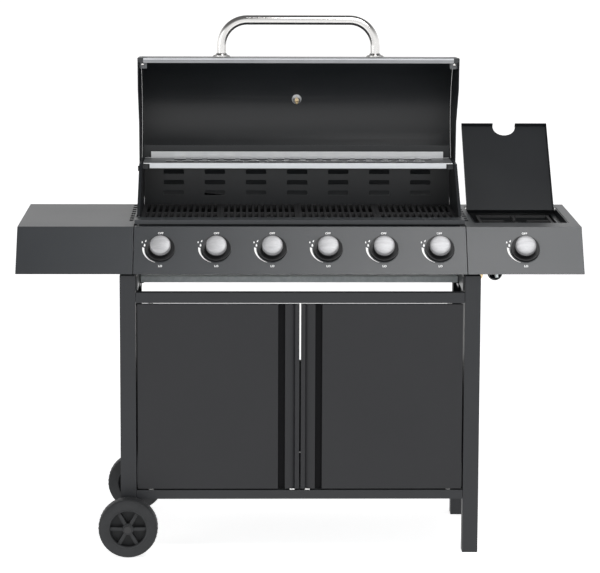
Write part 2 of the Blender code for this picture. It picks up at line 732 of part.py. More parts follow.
def make_rack():
    """The warming rack: a slotted floor with a rear lip up and a front lip down."""
    half = END_INNER - 0.0025
    outline = sheet(
        [
            (RACK_FRONT, RACK_FLOOR - RACK_LIP_DOWN),
            (RACK_FRONT, RACK_FLOOR),
            (RACK_BACK, RACK_FLOOR),
            (RACK_BACK, RACK_FLOOR + RACK_LIP_UP),
        ],
        SHEET,
    )
    rack = prism(outline, "X", -half, half)
    slots = []
    for row in range(RACK_ROWS):
        y = RACK_FRONT + RACK_ROW_START + row * RACK_ROW_PITCH
        shift = (row % 2) * RACK_SLOT_PITCH / 2
        count = int((half - RACK_SLOT_PITCH) / RACK_SLOT_PITCH)
        for k in range(-count, count):
            x = k * RACK_SLOT_PITCH + shift
            high = (x + RACK_SLOT, y + RACK_SLOT_WIDTH, RACK_FLOOR + SHEET)
            slots.append(box((x, y, RACK_FLOOR - SHEET), high))
    cut(rack, *slots)
    for side in (-1, 1):
        left, right = sorted((side * (half - RACK_LIP_IN), side * (half + PAST)))
        under = (RACK_FRONT - PAST, RACK_FLOOR - RACK_LIP_DOWN - PAST), (RACK_FRONT + PAST, RACK_FLOOR - 1.5 * SHEET)
        over = (RACK_BACK - PAST, RACK_FLOOR + SHEET), (RACK_BACK + PAST, RACK_FLOOR + RACK_LIP_UP + PAST)
        for low, high in (under, over):
            cut(rack, box((left, *low), (right, *high)))
    finish(rack, "warming_rack", "steel")


def make_tray():
    """The full-width grease tray, drawn out to the back on its guides."""
    half = END_INNER - 0.0015
    front, back = TUB_FRONT + 0.0045, TUB_BACK + 0.0055
    wall = TRAY_WALL
    tray = box((-half, front, TRAY_BOTTOM), (half, back, TRAY_TOP))
    cut(tray, box((-half + wall, front + wall, TRAY_BOTTOM + wall), (half - wall, back - wall, TRAY_TOP + PAST)))
    grip = box((-TRAY_GRIP_HALF, back - wall / 2, TRAY_TOP - SHEET), (TRAY_GRIP_HALF, back + TRAY_GRIP, TRAY_TOP))
    join(tray, grip)
    finish(tray, "grease_tray", "zinc", (0.0, front, TRAY_BOTTOM))


# ---------------------------------------------------------------- front panel, gas and knobs
def make_panel():
    """The sloping control panel, a folded sheet open at the back, with its bezels."""
    high = PANEL_HIGH.z
    outer = [
        (PANEL_LOW.y, PANEL_LOW.z),
        (PANEL_HIGH.y, high),
        (PANEL_BACK, high),
        (PANEL_BACK, high - PANEL_RETURN),
        (PANEL_LOW.y + PANEL_FOLD, PANEL_LOW.z),
    ]
    panel = prism(outer, "X", -PANEL_HALF, PANEL_HALF)
    inset = PANEL_OUT * -SHEET
    inner = [
        (PANEL_LOW.y + inset.y + 0.0006, PANEL_LOW.z + SHEET),
        (PANEL_HIGH.y + inset.y + 0.0003, high - SHEET),
        (PANEL_BACK + PAST, high - SHEET),
        (PANEL_BACK + PAST, PANEL_LOW.z + SHEET),
    ]
    cut(panel, prism(inner, "X", -PANEL_HALF + SHEET, PANEL_HALF - SHEET))
    add_bezels(panel, KNOB_XS)
    finish(panel, "control_panel", "charcoal")


def add_bezels(panel, places):
    """Raised bezel rings, each with the hole that its valve stem passes through."""
    for x in places:
        foot = PANEL_MIDDLE + Vector((x, 0, 0))
        join(panel, rod(foot - PANEL_OUT * SHEET / 2, foot + PANEL_OUT * BEZEL_HEIGHT, BEZEL_RADIUS, 24))
    holes = []
    for x in places:
        foot = PANEL_MIDDLE + Vector((x, 0, 0))
        holes.append(rod(foot - PANEL_OUT * PAST, foot + PANEL_OUT * PAST, STEM_RADIUS + 0.0035))
    cut(panel, *holes)


def make_manifold():
    """The gas pipe with a valve body behind each knob and a jet for each burner."""
    manifold = rod((KNOB_XS[0] - 0.0375, PIPE.y, PIPE.z), (SIDE_X + 0.025, PIPE.y, PIPE.z), PIPE_RADIUS, 12)
    jet_root = PANEL_MIDDLE - PANEL_OUT * 0.024
    for x in (*KNOB_XS, SIDE_X):
        shift = Vector((x, 0, 0))
        valve_foot = PANEL_MIDDLE - PANEL_OUT * (PIPE_DEPTH + 0.002) + shift
        join(manifold, rod(valve_foot, PANEL_MIDDLE - PANEL_OUT * 0.010 + shift, VALVE_RADIUS, 10))
        if x != SIDE_X:
            join(manifold, rod((x, jet_root.y, BURNER_HEIGHT), (x, BURNER_FRONT + 0.006, BURNER_HEIGHT), 0.005, 8))
    feed = 0.0040
    elbow = 0.0044
    join(
        manifold,
        rod((SIDE_X, jet_root.y, jet_root.z), (VENTURI_X, jet_root.y, jet_root.z), feed, 8),
        rod(
            (VENTURI_X, jet_root.y, jet_root.z + elbow),
            (VENTURI_X, jet_root.y, VENTURI_HEIGHT - elbow),
            elbow,
            10,
        ),
        rod((VENTURI_X, jet_root.y, VENTURI_HEIGHT), (VENTURI_X, MOUTH_DEPTH + 0.006, VENTURI_HEIGHT), feed, 8),
    )
    bores = []
    for x in (*KNOB_XS, SIDE_X):
        shift = Vector((x, 0, 0))
        bore_foot = PANEL_MIDDLE - PANEL_OUT * (STEM_IN + 0.0005) + shift
        bores.append(rod(bore_foot, PANEL_MIDDLE + shift, STEM_RADIUS + GAP, 10))
    cut(manifold, *bores)
    finish(manifold, "gas_manifold", "zinc")


def make_inlet():
    """The brass hose connection under the right end of the gas pipe."""
    top = Vector((CART_HALF + INLET_OUT, PIPE.y, PIPE.z - PIPE_RADIUS - 0.0020))
    down = Vector((-0.19, 0.0, -1.0)).normalized()
    profile = [(0.0, 0.0), (0.0055, 0.0), (0.0055, 0.016), (0.0085, 0.016), (0.0085, 0.034), (0.0060, 0.036)]
    profile += [(0.0060, 0.040), (0.0, 0.040)]
    finish(turned(profile, top, down, 6), "gas_inlet", "brass", top)


def make_knob(number, x):
    """A knob that slides on its stem, which turns in the valve."""
    foot = PANEL_MIDDLE + Vector((x, 0, 0))
    stem_start = foot - PANEL_OUT * STEM_IN
    stem_length = STEM_IN + STEM_OUT
    stem_profile = [(0.0, 0.0), (STEM_RADIUS, 0.0), (STEM_RADIUS, stem_length), (0.0, stem_length)]
    turn = pivot(f"turn_{number}", stem_start)
    finish(turned(stem_profile, stem_start, PANEL_OUT, 12), f"stem_{number}", "steel", stem_start, turn)
    low = BEZEL_HEIGHT + KNOB_TRAVEL + 0.0006
    bore = STEM_RADIUS + GAP
    bore_end = STEM_OUT + KNOB_TRAVEL + GAP
    profile = [
        (0.0, bore_end),
        (bore, bore_end),
        (bore, low),
        (KNOB_RADIUS + 0.0015, low),
        (KNOB_RADIUS + 0.0005, KNOB_HEIGHT - 0.0045),
        (KNOB_RADIUS - 0.0008, KNOB_HEIGHT - 0.0030),
        (KNOB_RADIUS - 0.0080, KNOB_HEIGHT - 0.0006),
        (0.0, KNOB_HEIGHT),
    ]
    finish(turned(profile, foot, PANEL_OUT, 24), f"knob_{number}", "steel", foot, turn)


# ---------------------------------------------------------------- side tables and side burner
def make_table(name, side):
    """A folded side table with a sloping front, open underneath."""

    def slab(outline, inner, outer):
        left, right = sorted((side * inner, side * outer))
        return prism(outline, "X", left, right)

    inner_edge, outer_edge = TABLE_INNER, TABLE_HALF
    high = PANEL_HIGH.z
    shoulder = PANEL_HIGH.y + 0.014
    outer = [
        (PANEL_LOW.y, PANEL_LOW.z),
        (PANEL_HIGH.y, high),
        (TABLE_BACK, high),
        (TABLE_BACK, high - TABLE_EDGE),
        (shoulder, high - TABLE_EDGE),
        (PANEL_LOW.y + PANEL_FOLD, PANEL_LOW.z),
    ]
    table = slab(outer, inner_edge, outer_edge)
    inset = PANEL_OUT * -SHEET
    hollow = [
        (PANEL_LOW.y + inset.y + 0.0006, PANEL_LOW.z + SHEET),
        (PANEL_HIGH.y + inset.y + 0.0003, high - SHEET),
        (TABLE_BACK - SHEET, high - SHEET),
        (TABLE_BACK - SHEET, PANEL_LOW.z + SHEET),
    ]
    cut(table, slab(hollow, inner_edge + SHEET, outer_edge - SHEET))
    vents = []
    for i in range(VENTS):
        y = VENT_START + i * VENT_PITCH
        left, right = sorted((side * (inner_edge + 0.0045), side * (inner_edge + 0.0045 + VENT_WIDTH)))
        vents.append(box((left, y, high - PAST), (right, y + VENT_LENGTH, high + PAST)))
    cut(table, *vents)
    if side > 0:
        well = box(
            (SIDE_X - WELL_HALF, WELL_FRONT, high - PAST),
            (SIDE_X + WELL_HALF, WELL_BACK, high + PAST),
        )
        cut(table, well)
        add_bezels(table, [SIDE_X])
    finish(table, name, "charcoal")


def make_side_bowl():
    """The stepped pan of the side burner: a recess for the lid and a deeper bowl."""
    top = TABLE_TOP - 0.0015
    step = TABLE_TOP - SIDE_STEP
    floor = TABLE_TOP - SIDE_FLOOR
    inner = BOWL_HALF + SHEET
    front = WELL_FRONT + 0.0180

    def block(half, front, back, low, high):
        return box((SIDE_X - half, front, low), (SIDE_X + half, back, high))

    bowl = block(WELL_HALF - 0.0005, WELL_FRONT + 0.0005, WELL_BACK - 0.0005, step - SHEET, top)
    join(bowl, block(inner, front - SHEET, WELL_BACK - 0.0013, floor, step - SHEET + 0.0005))
    cut(bowl, block(WELL_HALF - 0.0025, WELL_FRONT + 0.0025, WELL_BACK - 0.0025, step, top + PAST))
    cut(bowl, block(BOWL_HALF, front, WELL_BACK - 0.0025, floor + SHEET, step + 0.002))
    pins = rod(
        (SIDE_X - WELL_HALF - PAST, SIDE_HINGE.y, SIDE_HINGE.z),
        (SIDE_X + WELL_HALF + PAST, SIDE_HINGE.y, SIDE_HINGE.z),
        SIDE_PIN_RADIUS + GAP,
    )
    cut(bowl, pins)
    middle = (SIDE_X, SIDE_MIDDLE)
    cut(bowl, rod((*middle, floor - PAST), (*middle, floor + PAST), FEED_RADIUS + 0.0030))
    finish(bowl, "side_burner_bowl", "enamel")


def make_side_head():
    """The side burner's head on its supply tube, which has a flared open mouth."""
    tube = FEED_RADIUS
    centre = Vector((SIDE_X, SIDE_MIDDLE, VENTURI_HEIGHT))
    top = TABLE_TOP - 0.0265
    height = 0.0150
    flare = 0.030
    head = [
        (0.0, 0.0),
        (tube + 0.0050, 0.0),
        (FLAME_RADIUS, 0.0060),
        (FLAME_RADIUS, 0.0110),
        (0.8 * FLAME_RADIUS, 0.0135),
        (0.0, height),
    ]
    item = turned(head, (SIDE_X, SIDE_MIDDLE, top - height), (0, 0, 1), 20)
    mouth = [
        (0.0, flare),
        (tube - 0.0020, flare),
        (MOUTH_RADIUS - 0.0030, 0.0),
        (MOUTH_RADIUS, 0.0),
        (MOUTH_RADIUS, 0.2 * flare),
        (tube, flare),
        (tube, centre.y - MOUTH_DEPTH + tube),
        (0.0, centre.y - MOUTH_DEPTH + tube),
    ]
    join(
        item,
        rod((SIDE_X, centre.y, VENTURI_HEIGHT - tube), (SIDE_X, centre.y, top - 0.0100), tube, 14),
        rod((SIDE_X, centre.y, VENTURI_HEIGHT), (VENTURI_X, centre.y, VENTURI_HEIGHT), tube, 14),
        turned(mouth, (VENTURI_X, MOUTH_DEPTH, VENTURI_HEIGHT), (0, 1, 0), 20),
    )
    finish(item, "side_burner_head", "zinc")


def make_trivet():
    """The pan support over the side burner: a square ring with four fingers and feet."""
    top = TABLE_TOP - 0.0145
    low = top - 0.0060
    half, deep = TRIVET_HALF, TRIVET_HALF_DEPTH
    centre = SIDE_MIDDLE
    bar = 0.0070

    def block(x0, x1, y0, y1, base, high=top):
        return box((SIDE_X + x0, centre + y0, base), (SIDE_X + x1, centre + y1, high))

    trivet = block(-half, half, -deep, deep, low)
    cut(trivet, block(bar - half, half - bar, bar - deep, deep - bar, low - PAST, top + PAST))
    reach = 0.030
    root = 0.001
    join(
        trivet,
        block(root - half, -reach, -bar / 2, bar / 2, low),
        block(reach, half - root, -bar / 2, bar / 2, low),
        block(-bar / 2, bar / 2, root - deep, -reach, low),
        block(-bar / 2, bar / 2, reach, deep - root, low),
    )
    floor = TABLE_TOP - SIDE_FLOOR + SHEET + GAP
    for sx in (-1, 1):
        for sy in (-1, 1):
            x0, x1 = sorted((sx * (half - bar + root / 2), sx * (half - root / 2)))
            y0, y1 = sorted((sy * (deep - bar + root / 2), sy * (deep - root / 2)))
            join(trivet, block(x0, x1, y0, y1, floor, low + root))
    finish(trivet, "side_burner_trivet", "cast_iron")


def make_side_lid():
    """A shallow pan lid that lies flush in the table, with a finger notch in front."""
    low = TABLE_TOP - SIDE_LID_HEIGHT
    left, right = SIDE_X - SIDE_LID_HALF, SIDE_X + SIDE_LID_HALF
    lid = box((left, SIDE_LID_FRONT, low), (right, SIDE_LID_BACK, TABLE_TOP))
    under = box(
        (left + SHEET, SIDE_LID_FRONT + SHEET, low - PAST),
        (right - SHEET, SIDE_LID_BACK - SHEET, TABLE_TOP - SHEET),
    )
    notch_at = (SIDE_X, SIDE_LID_FRONT + NOTCH_IN)
    notch = rod((*notch_at, low - PAST), (*notch_at, TABLE_TOP + PAST), NOTCH_RADIUS, 24)
    cut(lid, under)
    cut(lid, notch)
    for edge, away in ((left, -1), (right, 1)):
        root = (edge - away * SHEET / 2, SIDE_HINGE.y, SIDE_HINGE.z)
        join(lid, rod(root, (edge + away * SIDE_PIN, SIDE_HINGE.y, SIDE_HINGE.z), SIDE_PIN_RADIUS))
    finish(lid, "side_burner_lid", "charcoal", SIDE_HINGE)
    lid.rotation_euler.x = -SIDE_LID_OPEN


# ---------------------------------------------------------------- lid
def lid_shape():
    """The middle line of the lid's sheet from front lip to rear edge, in (Y, Z)."""
    lip = Vector((LID_LIP.y, LID_LIP.z))
    up = Vector((math.sin(LID_LEAN), math.cos(LID_LEAN)))
    inward = Vector((up.y, -up.x))
    shoulder = lip + up * LID_FACE
    centre = shoulder + inward * LID_CURVE
    points = [lip]
    for k in range(15):
        angle = math.radians(180 - 10) - k * math.radians(8.5)
        points.append(centre + LID_CURVE * Vector((math.cos(angle), math.sin(angle))))
    last = points[-1]
    slope = (points[-1] - points[-2]).normalized()
    turn = LID_REAR - 0.022
    points.append(last + slope * ((turn - last.x) / slope.x))
    points.append(Vector((LID_REAR, points[-1].y - 0.024)))
    points.append(Vector((LID_REAR, LID_REAR_BOTTOM)))
    return points, centre, up, inward


def make_lid():
    """The big lid: a curved sheet between two end caps, with handle and thermometer."""
    hinge = pivot("lid_hinge", HINGE)
    points, centre, up, inward = lid_shape()
    lip = points[0]
    path = [(lip.x + LID_HEM, lip.y), *[tuple(point) for point in points]]
    shell = prism(sheet(path, SHEET), "X", -LID_HALF + 0.0023, LID_HALF - 0.0023)
    dial_angle = math.radians(90 + 8)
    out = Vector((0.0, math.cos(dial_angle), math.sin(dial_angle)))
    dial_foot = Vector((0.0, centre.x, centre.y)) + out * LID_CURVE
    cut(shell, rod(dial_foot - out * PAST, dial_foot + out * PAST, 0.0045))
    finish(shell, "lid_shell", "enamel", HINGE, hinge)

    rim = [
        (HINGE.y + 0.020, HINGE.z - 0.019),
        (HINGE.y - 0.130, HINGE.z - 0.019),
        (HINGE.y - 0.230, LID_LIP.z + 0.001),
    ]
    profile = [(point.x, point.y) for point in points]
    for side, name in ((-1, "lid_end_left"), (1, "lid_end_right")):
        left, right = sorted((side * (LID_HALF - 0.0020), side * LID_HALF))
        end = prism(profile + rim, "X", left, right)
        hole = rod((left - PAST, HINGE.y, HINGE.z), (right + PAST, HINGE.y, HINGE.z), LID_BOLT_RADIUS + 0.0003, 16)
        finish(cut(end, hole), name, "enamel", HINGE, hinge)

    make_handle(hinge, lip + up * HANDLE_UP, -inward)
    shaft, nut, dial = 0.0040, 0.0100, DIAL_RADIUS
    gap = SHEET / 2 + 0.0004
    profile = [
        (0.0, -0.034),
        (0.0035, -0.034),
        (0.0035, -0.014),
        (nut, -0.013),
        (nut, -gap - 0.0010),
        (shaft, -gap - 0.0010),
        (shaft, gap + 0.0004),
        (dial, gap + 0.0004),
        (dial, 0.0110),
        (dial - 0.0030, 0.0130),
        (0.0, 0.0130),
    ]
    finish(turned(profile, dial_foot, out, 24), "lid_thermometer", "steel", HINGE, hinge)
    hinge.rotation_euler.x = -LID_OPEN


def make_handle(hinge, foot, out):
    """The bent tube handle with its two round feet, standing off the lid's front face."""
    base = Vector((0.0, foot.x, foot.y))
    out = Vector((0.0, out.x, out.y))
    across = Vector((1.0, 0.0, 0.0))
    start = SHEET / 2 + GAP
    straight = HANDLE_REACH - HANDLE_BEND
    points = []
    for side in (-1, 1):
        corner = base + out * straight + across * side * (HANDLE_HALF - HANDLE_BEND)
        arc = [base + across * side * HANDLE_HALF + out * start]
        for k in range(7):
            angle = math.radians(90 * k / 6)
            arc.append(corner + HANDLE_BEND * (across * side * math.cos(angle) + out * math.sin(angle)))
        points += arc if side < 0 else arc[::-1]
    handle = bent_tube(points, HANDLE_RADIUS)
    for side in (-1, 1):
        foot_place = base + across * side * HANDLE_HALF
        join(handle, rod(foot_place + out * start, foot_place + out * (start + FLANGE_HEIGHT), FLANGE_RADIUS, 20))
    finish(handle, "lid_handle", "chrome", HINGE, hinge)


# ---------------------------------------------------------------- the whole grill
def centre_on_ground():
    """Moves the grill so that the middle of its depth is at Y = 0."""
    bpy.context.view_layer.update()
    reach = [
        (item.matrix_world @ Vector(corner)).y
        for item in bpy.context.scene.objects
        if item.type == "MESH"
        for corner in [vertex.co for vertex in item.data.vertices]
    ]
    middle = (min(reach) + max(reach)) / 2
    for item in bpy.context.scene.objects:
        if item.parent is None:
            item.location.y -= middle
    bpy.context.view_layer.update()
    print(f"moved by {-middle:.5f} m along Y")


make_legs()
make_side_panels()
make_shelf()
make_front_rail()
make_rear_panel()
make_wheels()
make_door("door_left", -1)
make_door("door_right", 1)
make_tub()
make_back()
make_end("firebox_end_left", -1)
make_end("firebox_end_right", 1)
make_burners()
make_heat_tents()
make_grates()
make_rack()
make_tray()
make_panel()
make_manifold()
make_inlet()
for knob_number, knob_x in enumerate((*KNOB_XS, SIDE_X), 1):
    make_knob(knob_number, knob_x)
make_table("table_left", -1)
make_table("table_right", 1)
make_side_bowl()
make_side_head()
make_trivet()
make_side_lid()
make_lid()
centre_on_ground()
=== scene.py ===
import json
import math

import bpy
from mathutils import Matrix, Vector

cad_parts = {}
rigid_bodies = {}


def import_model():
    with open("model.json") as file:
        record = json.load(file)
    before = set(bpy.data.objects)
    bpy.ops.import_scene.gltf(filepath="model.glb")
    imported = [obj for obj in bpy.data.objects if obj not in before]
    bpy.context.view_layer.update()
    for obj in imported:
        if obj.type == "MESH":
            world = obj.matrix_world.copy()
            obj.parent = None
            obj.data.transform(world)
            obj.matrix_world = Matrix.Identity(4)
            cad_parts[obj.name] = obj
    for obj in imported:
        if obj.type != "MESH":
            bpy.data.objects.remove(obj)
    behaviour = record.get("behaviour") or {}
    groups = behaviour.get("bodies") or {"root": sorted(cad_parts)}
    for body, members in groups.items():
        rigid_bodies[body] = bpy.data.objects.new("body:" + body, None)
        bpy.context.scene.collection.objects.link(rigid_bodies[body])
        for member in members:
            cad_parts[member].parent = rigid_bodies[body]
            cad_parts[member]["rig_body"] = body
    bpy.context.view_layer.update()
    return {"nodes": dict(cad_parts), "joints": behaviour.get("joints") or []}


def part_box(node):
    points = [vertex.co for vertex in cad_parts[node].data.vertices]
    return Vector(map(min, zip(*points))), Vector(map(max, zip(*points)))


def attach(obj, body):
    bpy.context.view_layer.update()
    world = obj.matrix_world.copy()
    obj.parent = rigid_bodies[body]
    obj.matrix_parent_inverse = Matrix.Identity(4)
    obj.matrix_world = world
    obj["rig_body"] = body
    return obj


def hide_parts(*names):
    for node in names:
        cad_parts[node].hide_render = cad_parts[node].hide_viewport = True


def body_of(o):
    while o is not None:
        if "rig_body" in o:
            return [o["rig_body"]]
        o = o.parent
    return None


for leftover in list(bpy.data.objects):
    bpy.data.objects.remove(leftover, do_unlink=True)
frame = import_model()
joints = {joint["name"]: joint for joint in frame["joints"]}

# %% [markdown]
# Every place below is measured from the frame. Heights and widths are read as they are, and
# depths are counted from the front face of the front legs, as a fitter would with a tape.
# %% Measure the frame
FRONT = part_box("leg_front_right")[0].y
LID_HINGE = Vector(joints["lid_hinge"]["pos_m"])
LID_OPEN = math.radians(joints["lid_hinge"]["range_deg"][1])
SIDE_HINGE = Vector(joints["side_lid_hinge"]["pos_m"])
PANEL_OUT = Vector(joints["knob_1_turn"]["axis"]).normalized()
PANEL_UP = Vector((0.0, PANEL_OUT.z, -PANEL_OUT.y))
KNOB_FEET = [Vector(joints[f"knob_{i}_turn"]["pos_m"]) for i in range(1, 8)]
MERGE = 0.00001  # points closer than this are one point
LEDGE_BACK = 0.1465  # depth at which the front ledge and the lid's lip end
print(
    "front at", round(FRONT, 4), "panel leans", round(math.degrees(math.asin(PANEL_OUT.z)), 1),
    "degrees",
)


def spot(x, depth, height):
    """A point given by its depth behind the front legs."""
    return Vector((x, FRONT + depth, height))


# %% [markdown]
# Operators work on whatever is selected, and loading leaves the whole frame selected. So every
# step first selects just its own piece. A piece is settled before it is finished: its place,
# turn and size go into its mesh, and the object stays at the origin.
# %% Select and settle
def only(*items):
    """Selects these objects and nothing else."""
    bpy.ops.object.select_all(action="DESELECT")
    for item in items:
        item.select_set(True)
    if items:
        bpy.context.view_layer.objects.active = items[0]


def settle(item):
    """Puts the object's place, turn and size into its mesh."""
    only(item)
    bpy.ops.object.transform_apply(location=True, rotation=True, scale=True)
    return item


def pick(item, test, kind="FACE"):
    """Enters edit mode with the faces, edges or vertices that pass the test selected."""
    only(item)
    bpy.ops.object.mode_set(mode="EDIT")
    bpy.ops.mesh.select_mode(type=kind)
    bpy.ops.mesh.select_all(action="DESELECT")
    bpy.ops.object.mode_set(mode="OBJECT")
    mesh = item.data
    if kind == "FACE":
        for face in mesh.polygons:
            face.select = test(face.center, face.normal)
    elif kind == "VERT":
        for vertex in mesh.vertices:
            vertex.select = test(vertex.co)
    else:
        for edge in mesh.edges:
            edge.select = test(*[mesh.vertices[i].co for i in edge.vertices])
    bpy.ops.object.mode_set(mode="EDIT")


def leave():
    """Back to object mode."""
    bpy.ops.object.mode_set(mode="OBJECT")


def close_up(item):
    """Merges doubled points and turns every face outwards."""
    only(item)
    bpy.ops.object.mode_set(mode="EDIT")
    bpy.ops.mesh.select_all(action="SELECT")
    bpy.ops.mesh.remove_doubles(threshold=MERGE)
    bpy.ops.mesh.normals_make_consistent(inside=False)
    leave()


# %% [markdown]
# Real sheet metal and castings have no perfectly sharp corner. A small bevel on every corner
# catches a thin line of light, which is what makes an edge look like metal. After it the faces
# are shaded smooth, with weighted normals so that the flat faces stay flat.
# %% Round the edges
def rounded(item, width, steps=2):
    """Bevels the corner edges and smooths the shading."""
    only(item)
    if width:
        bevel = item.modifiers.new("Rounded edges", "BEVEL")
        bevel.width = width
        bevel.segments = steps
        bevel.limit_method = "ANGLE"
        bevel.angle_limit = math.radians(32)
        bpy.ops.object.modifier_apply(modifier=bevel.name)
    bpy.ops.object.shade_smooth_by_angle(angle=math.radians(50))
    weight = item.modifiers.new("Flat faces", "WEIGHTED_NORMAL")
    weight.keep_sharp = True
    bpy.ops.object.modifier_apply(modifier=weight.name)
    return item


def coated(item, body, *surfaces):
    """Gives a piece its finish, or several by slot, and its body."""
    item.data.materials.clear()
    for surface in surfaces:
        item.data.materials.append(surface)
    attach(item, body)
    return item


# %% [markdown]
# Three starting shapes cover most of the pieces: a block, a turned piece made from a disc that
# is drawn up and scaled ring by ring as on a lathe, and a copy of a piece set somewhere else.
# %% Blocks, turned pieces and copies
def block(name, low, high):
    """A block between two corners."""
    low, high = Vector(low), Vector(high)
    only()
    bpy.ops.mesh.primitive_cube_add(size=1.0, location=(low + high) / 2)
    item = bpy.context.object
    item.scale = high - low
    item.name = name
    return settle(item)


def turned(name, profile, base, axis, sides=48, hollow=False):
    """A profile of (radius, height) steps turned about an axis. A hollow one ends where it began."""
    only()
    radius, height = profile[0]
    fill = "NOTHING" if hollow else "NGON"
    bpy.ops.mesh.primitive_circle_add(
        vertices=sides, radius=radius, fill_type=fill, location=(0, 0, height),
    )
    item = settle(bpy.context.object)
    item.name = name
    bpy.ops.object.mode_set(mode="EDIT")
    bpy.ops.mesh.select_mode(type="VERT")  # a bare ring has no face to select
    bpy.ops.mesh.select_all(action="SELECT")
    for wider, higher in profile[1:] + (profile[:1] if hollow else []):
        rise = {"value": (0, 0, higher - height)}
        bpy.ops.mesh.extrude_region_move(TRANSFORM_OT_translate=rise)
        grow = wider / radius
        bpy.ops.transform.resize(value=(grow, grow, 1), center_override=(0, 0, higher))
        radius, height = wider, higher
    leave()
    close_up(item)
    item.rotation_mode = "QUATERNION"
    item.rotation_quaternion = Vector((0, 0, 1)).rotation_difference(Vector(axis))
    item.location = base
    return settle(item)


def copied(item, name, shift=(0, 0, 0), turn=None):
    """A copy with its own mesh, moved, or turned by a matrix."""
    only(item)
    bpy.ops.object.duplicate()
    twin = bpy.context.object
    twin.name = name
    twin.matrix_world = (turn or Matrix.Translation(Vector(shift))) @ twin.matrix_world
    return settle(twin)


def joined(name, items):
    """Several shapes made one object."""
    only(*items)
    bpy.ops.object.join()
    whole = bpy.context.object
    whole.name = name
    return whole


def swung(hinge, angle):
    """The turn of a lid about its hinge line, which runs from side to side."""
    return Matrix.Translation(hinge) @ Matrix.Rotation(angle, 4, "X") @ Matrix.Translation(-hinge)


def surface(
    name, slot, dark, light, rough, metallic=0.0, grain=900.0, lift=0.0001, drift=6.0,
    stretch=(1, 1, 1),
):
    """A finish with drifting colour and roughness and a fine raised grain."""
    material = bpy.data.materials.new(name)
    material.use_nodes = True
    nodes, links = material.node_tree.nodes, material.node_tree.links
    shader = nodes["Principled BSDF"]
    shader.inputs["Metallic"].default_value = metallic
    where = nodes.new("ShaderNodeTexCoord")
    pull = nodes.new("ShaderNodeMapping")
    pull.inputs["Scale"].default_value = stretch
    clouds = nodes.new("ShaderNodeTexNoise")
    clouds.inputs["Scale"].default_value = drift
    clouds.inputs["Detail"].default_value = 4.0
    specks = nodes.new("ShaderNodeTexNoise")
    specks.inputs["Scale"].default_value = grain
    specks.inputs["Detail"].default_value = 3.0
    blend = nodes.new("ShaderNodeMix")
    blend.inputs["Factor"].default_value = 0.45
    ramp = nodes.new("ShaderNodeValToRGB")
    ramp.color_ramp.elements[0].position, ramp.color_ramp.elements[1].position = 0.3, 0.7
    ramp.color_ramp.elements[0].color = (*dark, 1)
    ramp.color_ramp.elements[1].color = (*light, 1)
    sheen = nodes.new("ShaderNodeMapRange")
    sheen.inputs["To Min"].default_value, sheen.inputs["To Max"].default_value = rough
    raised = nodes.new("ShaderNodeBump")
    raised.inputs["Distance"].default_value = lift
    raised.inputs["Strength"].default_value = 0.6
    links.new(where.outputs["Object"], pull.inputs["Vector"])
    links.new(pull.outputs["Vector"], clouds.inputs["Vector"])
    links.new(pull.outputs["Vector"], specks.inputs["Vector"])
    links.new(clouds.outputs["Fac"], blend.inputs["A"])
    links.new(specks.outputs["Fac"], blend.inputs["B"])
    links.new(blend.outputs["Result"], ramp.inputs["Fac"])
    links.new(blend.outputs["Result"], sheen.inputs["Value"])
    links.new(ramp.outputs["Color"], shader.inputs["Base Color"])
    links.new(sheen.outputs["Result"], shader.inputs["Roughness"])
    links.new(specks.outputs["Fac"], raised.inputs["Height"])
    links.new(raised.outputs["Normal"], shader.inputs["Normal"])
    return material


# %% [markdown]
# The cart, panels and doors wear a satin charcoal powder coat: fine orange-peel grain and a
# slightly blue grey. The doors and the cart take darker copies of the same coat, painted shade
# for their upright faces below the panel. The lid and firebox are black stove enamel, a little
# glossier. Both are paint on steel, so they are not metallic; their sheen comes from a mid
# roughness.
# %% Painted finishes
CHARCOAL = surface(
    "charcoal_coat", "charcoal", (0.022, 0.0245, 0.028), (0.029, 0.032, 0.036), (0.36, 0.46), drift=5,
)
# Painted shade: the same charcoal coat made darker for the upright doors.
SHADED_DOOR_COAT = surface(
    "door_coat_painted_shade", "charcoal", (0.0105, 0.011, 0.0130), (0.0140, 0.0145, 0.0165), (0.50, 0.60), drift=5,
)
# Painted shade: the same charcoal coat made darker for the cart under the tables.
SHADED_CART_COAT = surface(
    "cart_coat_painted_shade", "charcoal", (0.0125, 0.0135, 0.0160), (0.0165, 0.0180, 0.0205), (0.46, 0.56), drift=5,
)
ENAMEL = surface(
    "black_enamel", "enamel", (0.009, 0.010, 0.012), (0.014, 0.016, 0.018), (0.30, 0.40), grain=500,
)
LID_SKIN = surface(
    "lid_enamel", "enamel", (0.013, 0.015, 0.017), (0.019, 0.021, 0.024), (0.32, 0.42), grain=420,
)
IRON = surface(
    "cast_iron", "grate", (0.008, 0.008, 0.009), (0.021, 0.021, 0.022), (0.50, 0.75), grain=700,
    lift=0.0006,
)
print("painted finishes", CHARCOAL.name, SHADED_DOOR_COAT.name, ENAMEL.name, LID_SKIN.name, IRON.name)

